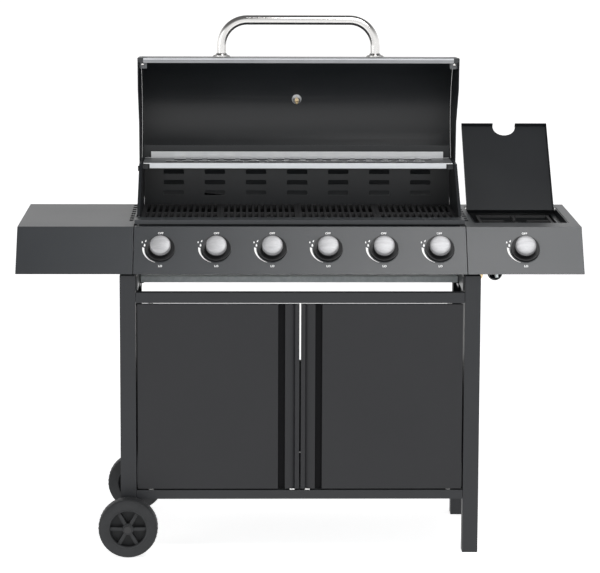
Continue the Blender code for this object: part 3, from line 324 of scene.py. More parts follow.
# %% [markdown]
# Bare metals reflect in their own colour. Brushed ones have grain drawn out along one direction,
# which comes from stretching the noise: a small scale along the brushing, a full one across it.
# %% Bare metals
ALONG_X, ALONG_Y = (0.02, 1, 1), (1, 0.02, 1)
STEEL = surface(
    "brushed_steel", "steel", (0.60, 0.61, 0.62), (0.76, 0.77, 0.78), (0.26, 0.40), 1.0, 500, 0.00004,
    30, ALONG_X,
)
TUBE_STEEL = surface(
    "burner_steel", "steel", (0.40, 0.38, 0.36), (0.60, 0.60, 0.60), (0.30, 0.45), 1.0, 500, 0.00004,
    40, ALONG_Y,
)
CAP = surface(
    "knob_cap", "steel", (0.33, 0.33, 0.34), (0.50, 0.50, 0.51), (0.50, 0.62), 0.70, 1400, 0.00005, 260,
    (0.12, 1, 0.5),
)
CHROME = surface(
    "polished_tube", "chrome", (0.62, 0.61, 0.60), (0.70, 0.69, 0.68), (0.10, 0.18), 1.0, 300, 0.00001,
    8,
)
ZINC = surface(
    "galvanised", "zinc", (0.62, 0.68, 0.69), (0.80, 0.85, 0.86), (0.40, 0.56), 0.30, 90, 0.00005, 45,
)
BRASS = surface(
    "machined_brass", "brass", (0.62, 0.46, 0.24), (0.78, 0.62, 0.38), (0.25, 0.42), 1.0, 600, 0.00005,
    60,
)
# Painted shade: a darker copy of the steel for the rack's flat floor faces.
RACK_FLOOR_SHADE = surface(
    "rack_floor_painted_shade", "steel", (0.13, 0.135, 0.14), (0.20, 0.205, 0.21), (0.40, 0.55), 0.4, 500, 0.00004,
    30, ALONG_X,
)
AXLE = surface(
    "black_steel", "steel", (0.014, 0.014, 0.015), (0.026, 0.026, 0.027), (0.42, 0.55), 0.2, 500,
    0.00004, 30,
)
print("metals", STEEL.name, TUBE_STEEL.name, CAP.name, CHROME.name, ZINC.name, BRASS.name)

# %% [markdown]
# The wheels and knob skirts are moulded black plastic, the hinge bushes white nylon, and the
# marks on the panel are white ink. Ink lies flat, so its grain is hardly raised at all.
# %% Plastics and ink
PLASTIC = surface(
    "black_plastic", "plastic", (0.018, 0.019, 0.020), (0.032, 0.033, 0.035), (0.50, 0.68), 0.0, 1500,
    0.0002, 40,
)
SKIRT = surface(
    "knob_skirt", "plastic", (0.006, 0.006, 0.007), (0.010, 0.010, 0.011), (0.34, 0.46), 0.0, 1200,
    0.00005, 30,
)
NYLON = surface(
    "white_nylon", "plastic", (0.70, 0.70, 0.69), (0.82, 0.82, 0.81), (0.35, 0.50), 0.0, 900, 0.00005,
    60,
)
INK = surface(
    "white_ink", "plastic", (0.78, 0.78, 0.78), (0.90, 0.90, 0.90), (0.45, 0.60), 0.0, 1200, 0.00001,
    200,
)
for matt, sheen in ((SHADED_DOOR_COAT, 0.36), (SHADED_CART_COAT, 0.40), (PLASTIC, 0.25), (SKIRT, 0.30)):
    matt.node_tree.nodes["Principled BSDF"].inputs["Specular IOR Level"].default_value = sheen
print("plastics", PLASTIC.name, SKIRT.name, NYLON.name, INK.name)

# %% [markdown]
# Folded and cast pieces already have their exact shape in the frame, holes and folds included.
# Modelling them again would only risk a misfit. So each is copied, its loose triangles merged
# into clean faces, its edges rounded, and the copy stands for the original.
# %% Copies of the frame's pieces
def refined(name, finish, width=0.0004, steps=2, shaping=None):
    """A clean, rounded copy of a frame piece that stands for it."""
    node = frame["nodes"][name]
    body = body_of(node)[0]
    only(node)
    bpy.ops.object.duplicate()
    item = bpy.context.object
    item.parent = None
    item.name = name + "_shape"
    bpy.ops.mesh.customdata_custom_splitnormals_clear()
    bpy.ops.object.mode_set(mode="EDIT")
    bpy.ops.mesh.select_all(action="SELECT")
    bpy.ops.mesh.remove_doubles(threshold=MERGE)
    bpy.ops.mesh.dissolve_limited(angle_limit=math.radians(0.6))
    leave()
    if shaping:
        shaping(item)
    rounded(item, width, steps)
    coated(item, body, finish)
    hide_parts(name)
    return item


# %% [markdown]
# The cart is square steel tube with folded sheet between the legs. Tube corners are rounder than
# sheet edges, because the tube is rolled, so the legs get the widest bevel.
# %% Cart
for corner in ("front_left", "front_right", "rear_left", "rear_right"):
    refined(f"leg_{corner}", SHADED_CART_COAT, 0.0007, 2)
for name in ("side_panel_left", "side_panel_right", "bottom_shelf", "front_rail", "rear_panel"):
    refined(name, SHADED_CART_COAT, 0.0005)
refined("wheel_axle", AXLE, 0.0006)

# %% [markdown]
# The firebox is folded steel in black enamel. Its front ledge is outside the fire and is painted
# like the panel, so those faces take the charcoal coat.
# %% Firebox
tub = refined("firebox_tub", ENAMEL, 0.0004)
tub.data.materials.append(CHARCOAL)
for face in tub.data.polygons:
    if face.center.y < FRONT + LEDGE_BACK and face.center.z > 0.815:
        face.material_index = 1
for side in ("left", "right"):
    refined(f"firebox_end_{side}", ENAMEL, 0.0004)
for i in range(1, 7):
    refined(f"burner_{i}", TUBE_STEEL, 0.0003)
refined("heat_tents", TUBE_STEEL, 0.0003)
for i in range(1, 5):
    refined(f"grate_{i}", IRON, 0.0011, 2)
rack = refined("warming_rack", STEEL, 0.0003)
# The flat floor faces of the steel rack take the darker copy as painted shade.
rack.data.materials.append(RACK_FLOOR_SHADE)
for face in rack.data.polygons:
    if abs(face.normal.z) > 0.9 and face.center.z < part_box("warming_rack")[1].z - 0.010:
        face.material_index = 1
refined("grease_tray", ZINC, 0.0003)

# %% [markdown]
# The gas parts are plain plumbing: a zinc-plated pipe with a valve behind each knob, and a brass
# hose fitting at its right-hand end.
# %% Gas parts
refined("gas_manifold", ZINC, 0.0005)
refined("gas_inlet", BRASS, 0.0006)
for i in range(1, 8):
    frame["nodes"][f"stem_{i}"].material_slots[0].material = BRASS

# %% [markdown]
# The panel and the two side tables are one family of folded sheet, with the same sloping front,
# so they share the charcoal coat and the same rounded folds.
# %% Panel and tables
for name in ("control_panel", "table_left", "table_right"):
    refined(name, CHARCOAL, 0.0005)
refined("side_burner_bowl", ENAMEL, 0.0005)
head = refined("side_burner_head", ZINC, 0.0005)
# The inside of the air mouth is given black enamel as painted shade in the mouth.
head.data.materials.append(ENAMEL)
mouth_low, mouth_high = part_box("side_burner_head")
mouth = Vector((mouth_low.x + 0.019, 0, mouth_low.z + 0.019))
for face in head.data.polygons:
    off = Vector((face.center.x, 0, face.center.z)) - mouth
    if off.length < 0.0158 and face.center.y < mouth_low.y + 0.031:
        face.material_index = 1
refined("side_burner_trivet", IRON, 0.0012, 2)
refined("side_burner_lid", ENAMEL, 0.0005)

# %% [markdown]
# The big lid is a curved sheet between two end caps. The curve is made of many short bends, and
# smooth shading over shallow angles makes it read as one roll.
# %% Lid
refined("lid_shell", LID_SKIN, 0.0005)
for side in ("left", "right"):
    refined(f"lid_end_{side}", LID_SKIN, 0.0005)

# %% [markdown]
# Each door is a shallow pan with a finger groove and a scooped grip beside its free edge. The
# grip is cut into the flat face at two lines, and the line between them is pushed back, so that
# the face runs in behind the edge and a fingertip can hook it. The groove's faces are painted
# black, as painted shade in the groove.
# %% Doors
# A near-black used only as painted shade: in the door grooves, the burner ports and the table vents.
SHADE_BLACK = surface(
    "painted_shade_black", "charcoal", (0.003, 0.003, 0.004), (0.005, 0.005, 0.006), (0.55, 0.70), drift=8,
)
SHADE_BLACK.node_tree.nodes["Principled BSDF"].inputs["Specular IOR Level"].default_value = 0.12
EDGE_STRIP, SCOOP_DEEP, SCOOP_START = 0.0125, 0.0145, 0.0310


def scoop(sign):
    """Shapes the grip on the door of this side."""

    def shape(item):
        for line in (EDGE_STRIP, SCOOP_DEEP, SCOOP_START):
            only(item)
            bpy.ops.object.mode_set(mode="EDIT")
            bpy.ops.mesh.select_all(action="SELECT")
            bpy.ops.mesh.bisect(plane_co=(sign * line, 0, 0), plane_no=(1, 0, 0))
            leave()
        pick(item, lambda p: abs(abs(p.x) - SCOOP_DEEP) < 0.0002 and p.y < FRONT + 0.003, "VERT")
        bpy.ops.transform.translate(value=(0, 0.0065, 0))
        leave()

    return shape


for side, sign in (("left", -1), ("right", 1)):
    door = refined(f"door_{side}", SHADED_DOOR_COAT, 0.0004, 2, scoop(sign))
    door.data.materials.append(SHADE_BLACK)
    dark = 0
    # The groove's walls and floor get the near-black as painted shade.
    for face in door.data.polygons:
        inside = 0.0370 < abs(face.center.x) < 0.0556
        if inside and FRONT + 0.0008 < face.center.y < FRONT + 0.0109:
            face.material_index = 1
            dark += 1
    print("door", side, "with", dark, "groove faces")

# %% [markdown]
# Every door turns on two pins in white nylon bushes, which show as small collars above and below
# the door. Beside the free edges sit two little catches of the same nylon.
# %% Bushes and catches
DOOR_PIN, PIN_DEPTH, BUSH_LOW, BUSH_HIGH = 0.372, 0.010, 0.16122, 0.6340
bush = turned(
    "bush_1", [(0.0034, 0), (0.0062, 0), (0.0068, 0.0006), (0.0068, 0.0016), (0.0034, 0.0016)],
    spot(-DOOR_PIN, PIN_DEPTH, BUSH_LOW), (0, 0, 1), 32, True,
)
coated(rounded(bush, 0), "cart", NYLON)
for number, (x, height) in enumerate(
    ((DOOR_PIN, BUSH_LOW), (-DOOR_PIN, BUSH_HIGH), (DOOR_PIN, BUSH_HIGH)), 2,
):
    twin = copied(bush, f"bush_{number}", (x + DOOR_PIN, 0, height - BUSH_LOW))
    coated(twin, "cart", NYLON)
for side, sign in (("left", -1), ("right", 1)):
    low = spot(sign * 0.0190 - 0.006, 0.0016, 0.1612)
    catch = block(f"catch_{side}", low, low + Vector((0.012, 0.0125, 0.0032)))
    pick(catch, lambda centre, normal: normal.z > 0.9)
    bpy.ops.mesh.inset(thickness=0.0015, depth=-0.0006)
    leave()
    coated(rounded(catch, 0.0003), "cart", NYLON)
print("bushes and catches made")

# %% [markdown]
# The lid handle is one polished tube, bent through a quarter turn at each end and standing on
# two round flanges. It is drawn as the bender makes it: straight up, a quarter turn, straight
# across, a quarter turn, straight down. Spin does each bend about its own centre.
# %% Lid handle
HANDLE_RADIUS, HANDLE_BEND, HANDLE_REACH, HANDLE_HALF = 0.0126, 0.0660, 0.0960, 0.1985
LEAN = math.radians(10)
FACE_UP = Vector((0, math.sin(LEAN), math.cos(LEAN)))
FACE_OUT = Vector((0, -math.cos(LEAN), math.sin(LEAN)))
lip = spot(0, 0.1425, 0.835)
foot = lip + FACE_UP * 0.068


def to_lid(x, up, out):
    """A point on the closed lid's front face: across it, up it from the handle, and out from it."""
    return foot + Vector((x, 0, 0)) + FACE_UP * up + FACE_OUT * out


only()
bpy.ops.mesh.primitive_circle_add(vertices=32, radius=HANDLE_RADIUS, fill_type="NGON")
handle = bpy.context.object
handle.name = "handle_tube"
handle.rotation_mode = "QUATERNION"
handle.rotation_quaternion = Vector((0, 0, 1)).rotation_difference(FACE_OUT)
handle.location = to_lid(-HANDLE_HALF, 0, 0.004)
settle(handle)
bpy.ops.object.mode_set(mode="EDIT")
bpy.ops.mesh.select_all(action="SELECT")
rise = FACE_OUT * (HANDLE_REACH - HANDLE_BEND - 0.004)
bpy.ops.mesh.extrude_region_move(TRANSFORM_OT_translate={"value": rise})
middle = to_lid(-HANDLE_HALF + HANDLE_BEND, 0, HANDLE_REACH - HANDLE_BEND)
bpy.ops.mesh.spin(
    steps=14, angle=math.radians(90), center=middle, axis=Vector((1, 0, 0)).cross(FACE_OUT),
)
run = Vector((2 * (HANDLE_HALF - HANDLE_BEND), 0, 0))
bpy.ops.mesh.extrude_region_move(TRANSFORM_OT_translate={"value": run})
middle = to_lid(HANDLE_HALF - HANDLE_BEND, 0, HANDLE_REACH - HANDLE_BEND)
bpy.ops.mesh.spin(
    steps=14, angle=math.radians(90), center=middle, axis=Vector((1, 0, 0)).cross(FACE_OUT),
)
bpy.ops.mesh.extrude_region_move(TRANSFORM_OT_translate={"value": -rise})
leave()
close_up(handle)
flange = turned(
    "handle_flange_1",
    [
        (0.0230, 0.0011), (0.0230, 0.0050), (0.0215, 0.0062), (0.0160, 0.0074), (0.0140, 0.0108),
        (0.0120, 0.0108),
    ],
    to_lid(-HANDLE_HALF, 0, 0), FACE_OUT, 40,
)
flange_twin = copied(flange, "handle_flange_2", (2 * HANDLE_HALF, 0, 0))
for item in (handle, flange, flange_twin):
    item.matrix_world = swung(LID_HINGE, -LID_OPEN)
    settle(item)
    coated(rounded(item, 0), "lid", CHROME)
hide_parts("lid_handle")
low = min(vertex.co.z for vertex in handle.data.vertices)
high = max(vertex.co.z for vertex in handle.data.vertices)

# %% [markdown]
# The thermometer's dial is outside, on top of the closed lid. Inside, a nut holds it, and its
# probe sticks out into the heat. The nut is a hexagon, which is a turned piece with six sides.
# %% Thermometer
DIAL_ANGLE, DIAL_LEAN, ROLL_RADIUS = math.radians(98), math.radians(8), 0.170
DIAL_OUT = Vector((0, math.cos(DIAL_ANGLE), math.sin(DIAL_ANGLE)))
roll_centre = lip + FACE_UP * 0.120 - FACE_OUT * ROLL_RADIUS
dial_foot = roll_centre + DIAL_OUT * ROLL_RADIUS


def on_dial(angle):
    """Tips a piece to lie on the dial and turns it round the dial's middle."""
    tipped = Matrix.Translation(dial_foot) @ Matrix.Rotation(DIAL_LEAN, 4, "X")
    return tipped @ Matrix.Rotation(angle, 4, "Z") @ Matrix.Translation(-dial_foot)


case = turned(
    "dial_case",
    [
        (0.0040, -0.0012), (0.0040, 0.0012), (0.0280, 0.0012), (0.0300, 0.0030), (0.0300, 0.0105),
        (0.0285, 0.0128), (0.0262, 0.0128), (0.0258, 0.0112), (0.0020, 0.0112),
    ],
    dial_foot, DIAL_OUT, 48,
)
nut = turned(
    "dial_nut",
    [(0.0098, -0.0128), (0.0104, -0.0120), (0.0104, -0.0030), (0.0098, -0.0022), (0.0040, -0.0022)],
    dial_foot, DIAL_OUT, 6,
)
washer = turned(
    "dial_washer", [(0.0130, -0.0022), (0.0130, -0.0012), (0.0040, -0.0012)], dial_foot, DIAL_OUT, 32,
)
probe = turned(
    "dial_probe",
    [
        (0.0012, -0.0336), (0.0030, -0.0326), (0.0034, -0.0300), (0.0034, -0.0236), (0.0026, -0.0228),
        (0.0026, -0.0200), (0.0052, -0.0190), (0.0052, -0.0128), (0.0030, -0.0128),
    ],
    dial_foot, DIAL_OUT, 28,
)
needle = block(
    "dial_needle", dial_foot + Vector((-0.0009, -0.002, 0.0113)),
    dial_foot + Vector((0.0009, 0.019, 0.0119)),
)
pick(needle, lambda point: point.y > dial_foot.y + 0.01, "VERT")
bpy.ops.transform.resize(value=(0.25, 1, 1), center_override=dial_foot)
leave()
needle.matrix_world = on_dial(math.radians(-70))
settle(needle)
ticks = []
for number in range(11):
    angle = math.radians(-125 + 25 * number)
    long = 0.0042 if number % 5 == 0 else 0.0026
    tick = block(
        "tick", dial_foot + Vector((-0.0004, 0.0235 - long, 0.0113)),
        dial_foot + Vector((0.0004, 0.0235, 0.0116)),
    )
    tick.matrix_world = on_dial(angle)
    ticks.append(settle(tick))
scale_marks = joined("dial_marks", ticks)
for item, finish in (
    (case, STEEL), (nut, CHROME), (washer, STEEL), (probe, BRASS), (needle, INK), (scale_marks, INK),
):
    item.matrix_world = swung(LID_HINGE, -LID_OPEN)
    settle(item)
    coated(rounded(item, 0.0002 if item is nut else 0), "lid", finish)
case.data.materials.append(SKIRT)
for face in case.data.polygons:
    if len(face.vertices) > 8 and face.area > 0.00001:
        face.material_index = 1
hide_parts("lid_thermometer")
print("thermometer dial at", [round(value, 3) for value in dial_foot])

# %% [markdown]
# Inside the open lid a folded hem stiffens the front edge, and a strip lies along the edge itself.
# Both are black enamel like the lid: the hem is painted mid grey as painted light on its face, and
# the strip pale grey as a painted highlight where the edge catches the light. Small corner
# brackets tie them to the end caps, each with a dome-headed screw.
# %% Lid hem, brackets and screws
TRIM = surface(
    "bright_trim", "steel", (0.50, 0.52, 0.54), (0.66, 0.68, 0.70), (0.30, 0.42), 0.9, 500, 0.00003, 30,
    ALONG_X,
)
HEM_HALF = 0.3985
# Painted light: mid grey on the hem, which is black enamel like the lid.
HEM = surface(
    "hem_painted_light", "enamel", (0.20, 0.205, 0.215), (0.25, 0.255, 0.265), (0.40, 0.50), 0.0, 600, 0.00005,
    20,
)
# Painted highlight: pale grey on the lid's edge strip, which is black enamel like the lid.
EDGE = surface(
    "edge_painted_highlight", "enamel", (0.42, 0.43, 0.45), (0.50, 0.51, 0.53), (0.35, 0.45), 0.0, 600, 0.00005, 20,
)
BRACKET = surface(
    "grey_bracket", "plastic", (0.060, 0.063, 0.068), (0.085, 0.088, 0.093), (0.40, 0.52), 0.0, 900,
    0.0001, 30,
)
hem = block("lid_hem", spot(-HEM_HALF, 0.1480, 0.8341), spot(HEM_HALF, 0.1552, 0.8348))
pick(hem, lambda centre, normal: normal.y > 0.9)
bpy.ops.mesh.extrude_region_move(TRANSFORM_OT_translate={"value": (0, 0.0006, 0.0045)})
leave()
edge = block("lid_edge", spot(-HEM_HALF, 0.1428, 0.8340), spot(HEM_HALF, 0.1474, 0.8348))
pick(edge, lambda centre, normal: normal.y < -0.9)
bpy.ops.mesh.extrude_region_move(TRANSFORM_OT_translate={"value": (0, -0.0006, 0.0020)})
leave()
for item, finish in ((hem, HEM), (edge, EDGE)):
    item.matrix_world = swung(LID_HINGE, -LID_OPEN)
    settle(item)
    coated(rounded(item, 0.0002), "lid", finish)
for side, sign in (("left", -1), ("right", 1)):
    low = spot(sign * 0.4000 - 0.0108, 0.1449, 0.8376)
    bracket = block(f"lid_bracket_{side}", low, low + Vector((0.0216, 0.026, 0.021)))

    def outer(a, b):
        front_to_back = abs(a.x - b.x) < 0.001 and abs(a.z - b.z) < 0.001
        return front_to_back and min(a.y, b.y) < FRONT + LEDGE_BACK and sign * a.x > 0.405

    pick(bracket, outer, "EDGE")
    bpy.ops.mesh.bevel(offset=0.006, segments=1)
    leave()
    pick(bracket, lambda centre, normal: normal.z < -0.9)
    bpy.ops.mesh.inset(thickness=0.0022, depth=-0.0008)
    leave()
    screw = turned(
        f"lid_screw_{side}",
        [
            (0.0042, 0), (0.0042, 0.0006), (0.0034, 0.0018), (0.0018, 0.0024), (0.0016, 0.0012),
            (0.0004, 0.0012),
        ],
        low + Vector((0.0108, 0.015, 0.0008)), (0, 0, -1), 24,
    )
    for item, finish in ((bracket, BRACKET), (screw, CHROME)):
        item.matrix_world = swung(LID_HINGE, -LID_OPEN)
        settle(item)
        coated(rounded(item, 0.0004 if item is bracket else 0), "lid", finish)
print("hem, brackets and screws made")

# %% [markdown]
# A louvre is pressed outwards: a slot is cut along its lower edge, and the metal above it bulges to
# the back as a hood, so rain runs off and air gets in. Inside it shows as a dark hollow. The slots
# of the wall are drawn up to the height of the hollows, and each hollow gets its hood behind.
# %% Louvres in the back wall
SLOT_RISE, LOUVRE_PITCH = 0.0060, 0.1085


def raise_slots(item):
    """Draws the top edge of every slot up and rounds its upper corners."""
    for height in (0.850, 0.878, 0.906):
        pick(item, lambda point: abs(point.z - height) < 0.0005 and abs(point.x) < 0.36, "VERT")
        bpy.ops.transform.translate(value=(0, 0, SLOT_RISE))
        leave()

        def corner(a, b):
            return abs(a.z - height - SLOT_RISE) < 0.0004 and max(
                abs(b.z - a.z), abs(a.x - b.x),
            ) < 0.0001

        pick(item, corner, "EDGE")
        bpy.ops.mesh.bevel(offset=0.0045, segments=4)
        leave()


refined("firebox_back", ENAMEL, 0.0003, 2, raise_slots)
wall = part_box("firebox_back")[1].y
hood = block("louvre", (-0.0276, wall + 0.0001, 0.8436), (0.0276, wall + 0.0009, 0.8566))
pick(hood, lambda point: point.z < 0.85, "VERT")
bpy.ops.transform.translate(value=(0, 0.0085, 0))
leave()
sides = []
for end in (-1, 1):
    cheek = block(
        "cheek", (end * 0.0272 - 0.0004, wall + 0.0001, 0.8436),
        (end * 0.0272 + 0.0004, wall + 0.0090, 0.8564),
    )
    pick(cheek, lambda point: point.z > 0.85 and point.y > wall + 0.005, "VERT")
    bpy.ops.transform.translate(value=(0, -0.0084, 0))
    leave()
    sides.append(cheek)
hood = joined("louvre", [hood] + sides)
HOODS = []
for row, lift in enumerate((0.0, 0.028, 0.056), 1):
    for column in range(7):
        HOODS.append(copied(hood, f"louvre_{row}_{column + 1}", ((column - 3) * LOUVRE_PITCH, 0, lift)))
bpy.data.objects.remove(hood, do_unlink=True)
for item in HOODS:
    coated(rounded(item, 0.0003), "cart", ENAMEL)
print("louvres", len(HOODS))

# %% [markdown]
# The warming rack rests on black brackets riveted to the firebox ends. Their tips show beside
# the bright front lip.
# %% Rack brackets and lip
for side, sign in (("left", -1), ("right", 1)):
    low = spot(min(sign * 0.3868, sign * 0.4018), 0.3570, 0.9290)
    bracket = block(f"rack_bracket_{side}", low, low + Vector((0.0150, 0.0028, 0.0120)))
    pick(bracket, lambda centre, normal: normal.y < -0.9)
    bpy.ops.mesh.inset(thickness=0.0016, depth=-0.0008)
    leave()
    coated(rounded(bracket, 0.0005), "cart", ENAMEL)
lip_cover = block("rack_front_trim", spot(-0.3840, 0.3588, 0.9305), spot(0.3840, 0.3598, 0.9440))
pick(lip_cover, lambda centre, normal: normal.z > 0.9)
bpy.ops.mesh.extrude_region_move(TRANSFORM_OT_translate={"value": (0, 0.0016, 0.0008)})
leave()
coated(rounded(lip_cover, 0.0003), "cart", TRIM)
print("rack dressed")

# %% [markdown]
# A knob is a black skirt with a spun aluminium cap pressed over it. The skirt has fine grip
# flutes. Both are turned pieces. One knob is made at its place and copied along the pipe.
# %% Knobs
def on_panel(knob, across, up, out):
    """A point beside a knob: to the right, up the slope, and out from the panel."""
    return KNOB_FEET[knob] + Vector((across, 0, 0)) + PANEL_UP * up + PANEL_OUT * out


skirt = turned(
    "knob_skirt_1",
    [
        (0.0190, 0.0078), (0.0262, 0.0078), (0.0268, 0.0088), (0.0268, 0.0108), (0.0262, 0.0118),
        (0.0200, 0.0122),
    ],
    KNOB_FEET[0], PANEL_OUT, 64,
)
cap = turned(
    "knob_cap_1",
    [
        (0.0236, 0.0119), (0.0253, 0.0119), (0.0257, 0.0126), (0.0256, 0.0180), (0.0254, 0.0228),
        (0.0246, 0.0248), (0.0230, 0.0261), (0.0195, 0.0271), (0.0140, 0.0278), (0.0070, 0.0283),
        (0.0005, 0.02845),
    ],
    KNOB_FEET[0], PANEL_OUT, 64,
)
flutes = []
for number in range(24):
    angle = math.radians(15 * number)
    rib = block("flute", (-0.0008, 0.0252, 0.0086), (0.0008, 0.0271, 0.0110))
    pick(rib, lambda centre, normal: normal.y > 0.9)
    bpy.ops.mesh.inset(thickness=0.0003, depth=0.0)
    leave()
    stand = Vector((0, 0, 1)).rotation_difference(PANEL_OUT).to_matrix().to_4x4()
    rib.matrix_world = Matrix.Translation(KNOB_FEET[0]) @ stand @ Matrix.Rotation(angle, 4, "Z")
    flutes.append(settle(rib))
skirt = joined("knob_skirt_1", [skirt] + flutes)
for knob in range(1, 7):
    shift = KNOB_FEET[knob] - KNOB_FEET[0]
    copied(skirt, f"knob_skirt_{knob + 1}", shift)
    copied(cap, f"knob_cap_{knob + 1}", shift)
for knob in range(1, 8):
    body = f"knob_body_{knob}"
    this_cap = coated(rounded(bpy.data.objects[f"knob_cap_{knob}"], 0), body, CAP)
    coated(rounded(bpy.data.objects[f"knob_skirt_{knob}"], 0), body, SKIRT)
    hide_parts(f"knob_{knob}")
print("knobs", 7)

# %% [markdown]
# Behind each knob the panel carries a black bezel, a shallow dish with a rounded rim. It hides
# the hole for the valve stem and the screws of the valve.
# %% Bezels
DISH = surface(
    "bezel_black", "plastic", (0.005, 0.005, 0.006), (0.009, 0.009, 0.010), (0.45, 0.60), 0.0, 1200,
    0.00005, 30,
)
bezel = turned(
    "bezel_1",
    [
        (0.0076, 0.00445), (0.0225, 0.00445), (0.0300, 0.0046), (0.0345, 0.0068), (0.0358, 0.0064),
        (0.0362, 0.0050), (0.0364, 0.0004), (0.0350, 0.0002), (0.0350, 0.0042), (0.0076, 0.0042),
    ],
    KNOB_FEET[0], PANEL_OUT, 72, True,
)
for knob in range(1, 7):
    copied(bezel, f"bezel_{knob + 1}", KNOB_FEET[knob] - KNOB_FEET[0])
for knob in range(1, 8):
    coated(rounded(bpy.data.objects[f"bezel_{knob}"], 0), "cart", DISH)
print("bezels", 7)

# %% [markdown]
# The marks beside a knob are white ink: the word for off above it, low below it, a tapered band
# from high to low round its left side, and a small flame and spark where it is lit. The band is
# an open ring of edges, extruded once; scaling the new edges about one end gives the taper.
# %% Marks
def flat_word(word, height):
    """A word as a thin flat mesh, upright in the plane across Y."""
    only()
    bpy.ops.object.text_add()
    text = bpy.context.object
    text.data.body = word
    text.data.align_x = "CENTER"
    text.data.align_y = "CENTER"
    text.data.size = height
    text.data.extrude = 0.00008
    text.data.offset = 0.0002
    text.data.resolution_u = 3
    only(text)
    bpy.ops.object.convert(target="MESH")
    return settle(bpy.context.object)


def onto_panel(item, knob, across, up, out=0.0002):
    """Lays a flat piece on the panel beside a knob: its X runs across, its Y up the slope."""
    plane = Matrix((Vector((1, 0, 0)), PANEL_UP, PANEL_OUT)).transposed().to_4x4()
    item.matrix_world = Matrix.Translation(on_panel(knob, across, up, out)) @ plane @ item.matrix_world
    return settle(item)


only()
bpy.ops.mesh.primitive_circle_add(vertices=96, radius=0.0400, fill_type="NOTHING")
band = settle(bpy.context.object)
pick(
    band,
    lambda point: not (math.radians(176) < math.atan2(point.y, point.x) % math.tau < math.radians(254)),
    "VERT",
)
bpy.ops.mesh.delete(type="VERT")
leave()
tip = min(band.data.vertices, key=lambda vertex: vertex.co.y).co.copy()
bpy.ops.object.mode_set(mode="EDIT")
bpy.ops.mesh.select_all(action="SELECT")
bpy.ops.mesh.extrude_region_move(TRANSFORM_OT_translate={"value": (-0.0006, -0.0005, 0)})
bpy.ops.transform.resize(value=(1.17, 1.07, 1), center_override=tip)
bpy.ops.mesh.select_all(action="SELECT")
bpy.ops.mesh.extrude_region_move(TRANSFORM_OT_translate={"value": (0, 0, 0.00015)})
leave()
close_up(band)


def drop(name, x, y, size, lean):
    """A small flame: a disc drawn to a point at the top."""
    only()
    bpy.ops.mesh.primitive_circle_add(vertices=20, radius=size, fill_type="NGON")
    flame = settle(bpy.context.object)
    pick(flame, lambda point: point.y > size * 0.75, "VERT")
    bpy.ops.transform.translate(value=(lean, size * 1.3, 0))
    leave()
    only(flame)
    bpy.ops.object.mode_set(mode="EDIT")
    bpy.ops.mesh.select_all(action="SELECT")
    bpy.ops.mesh.extrude_region_move(TRANSFORM_OT_translate={"value": (0, 0, 0.00015)})
    leave()
    close_up(flame)
    flame.location = (x, y, 0)
    flame.name = name
    return settle(flame)


off_word = flat_word("OFF", 0.0078)
off_word.location = (0, 0.0445, 0)
low_word = flat_word("LO", 0.0078)
low_word.location = (0, -0.0490, 0)
shapes = [settle(off_word), settle(low_word), band]
shapes += [
    drop("flame", -0.0395, 0.0090, 0.0023, 0.0), drop("spark", -0.0370, 0.0215, 0.0017, 0.0015),
    drop("glow", -0.0455, 0.0180, 0.0016, 0.0),
]
marks = joined("marks_1", shapes)
for knob in range(6, -1, -1):
    this_mark = copied(marks, f"marks_{knob + 1}") if knob else marks
    onto_panel(this_mark, knob, 0, 0)
    coated(this_mark, "cart", INK)
print("marks", 7)

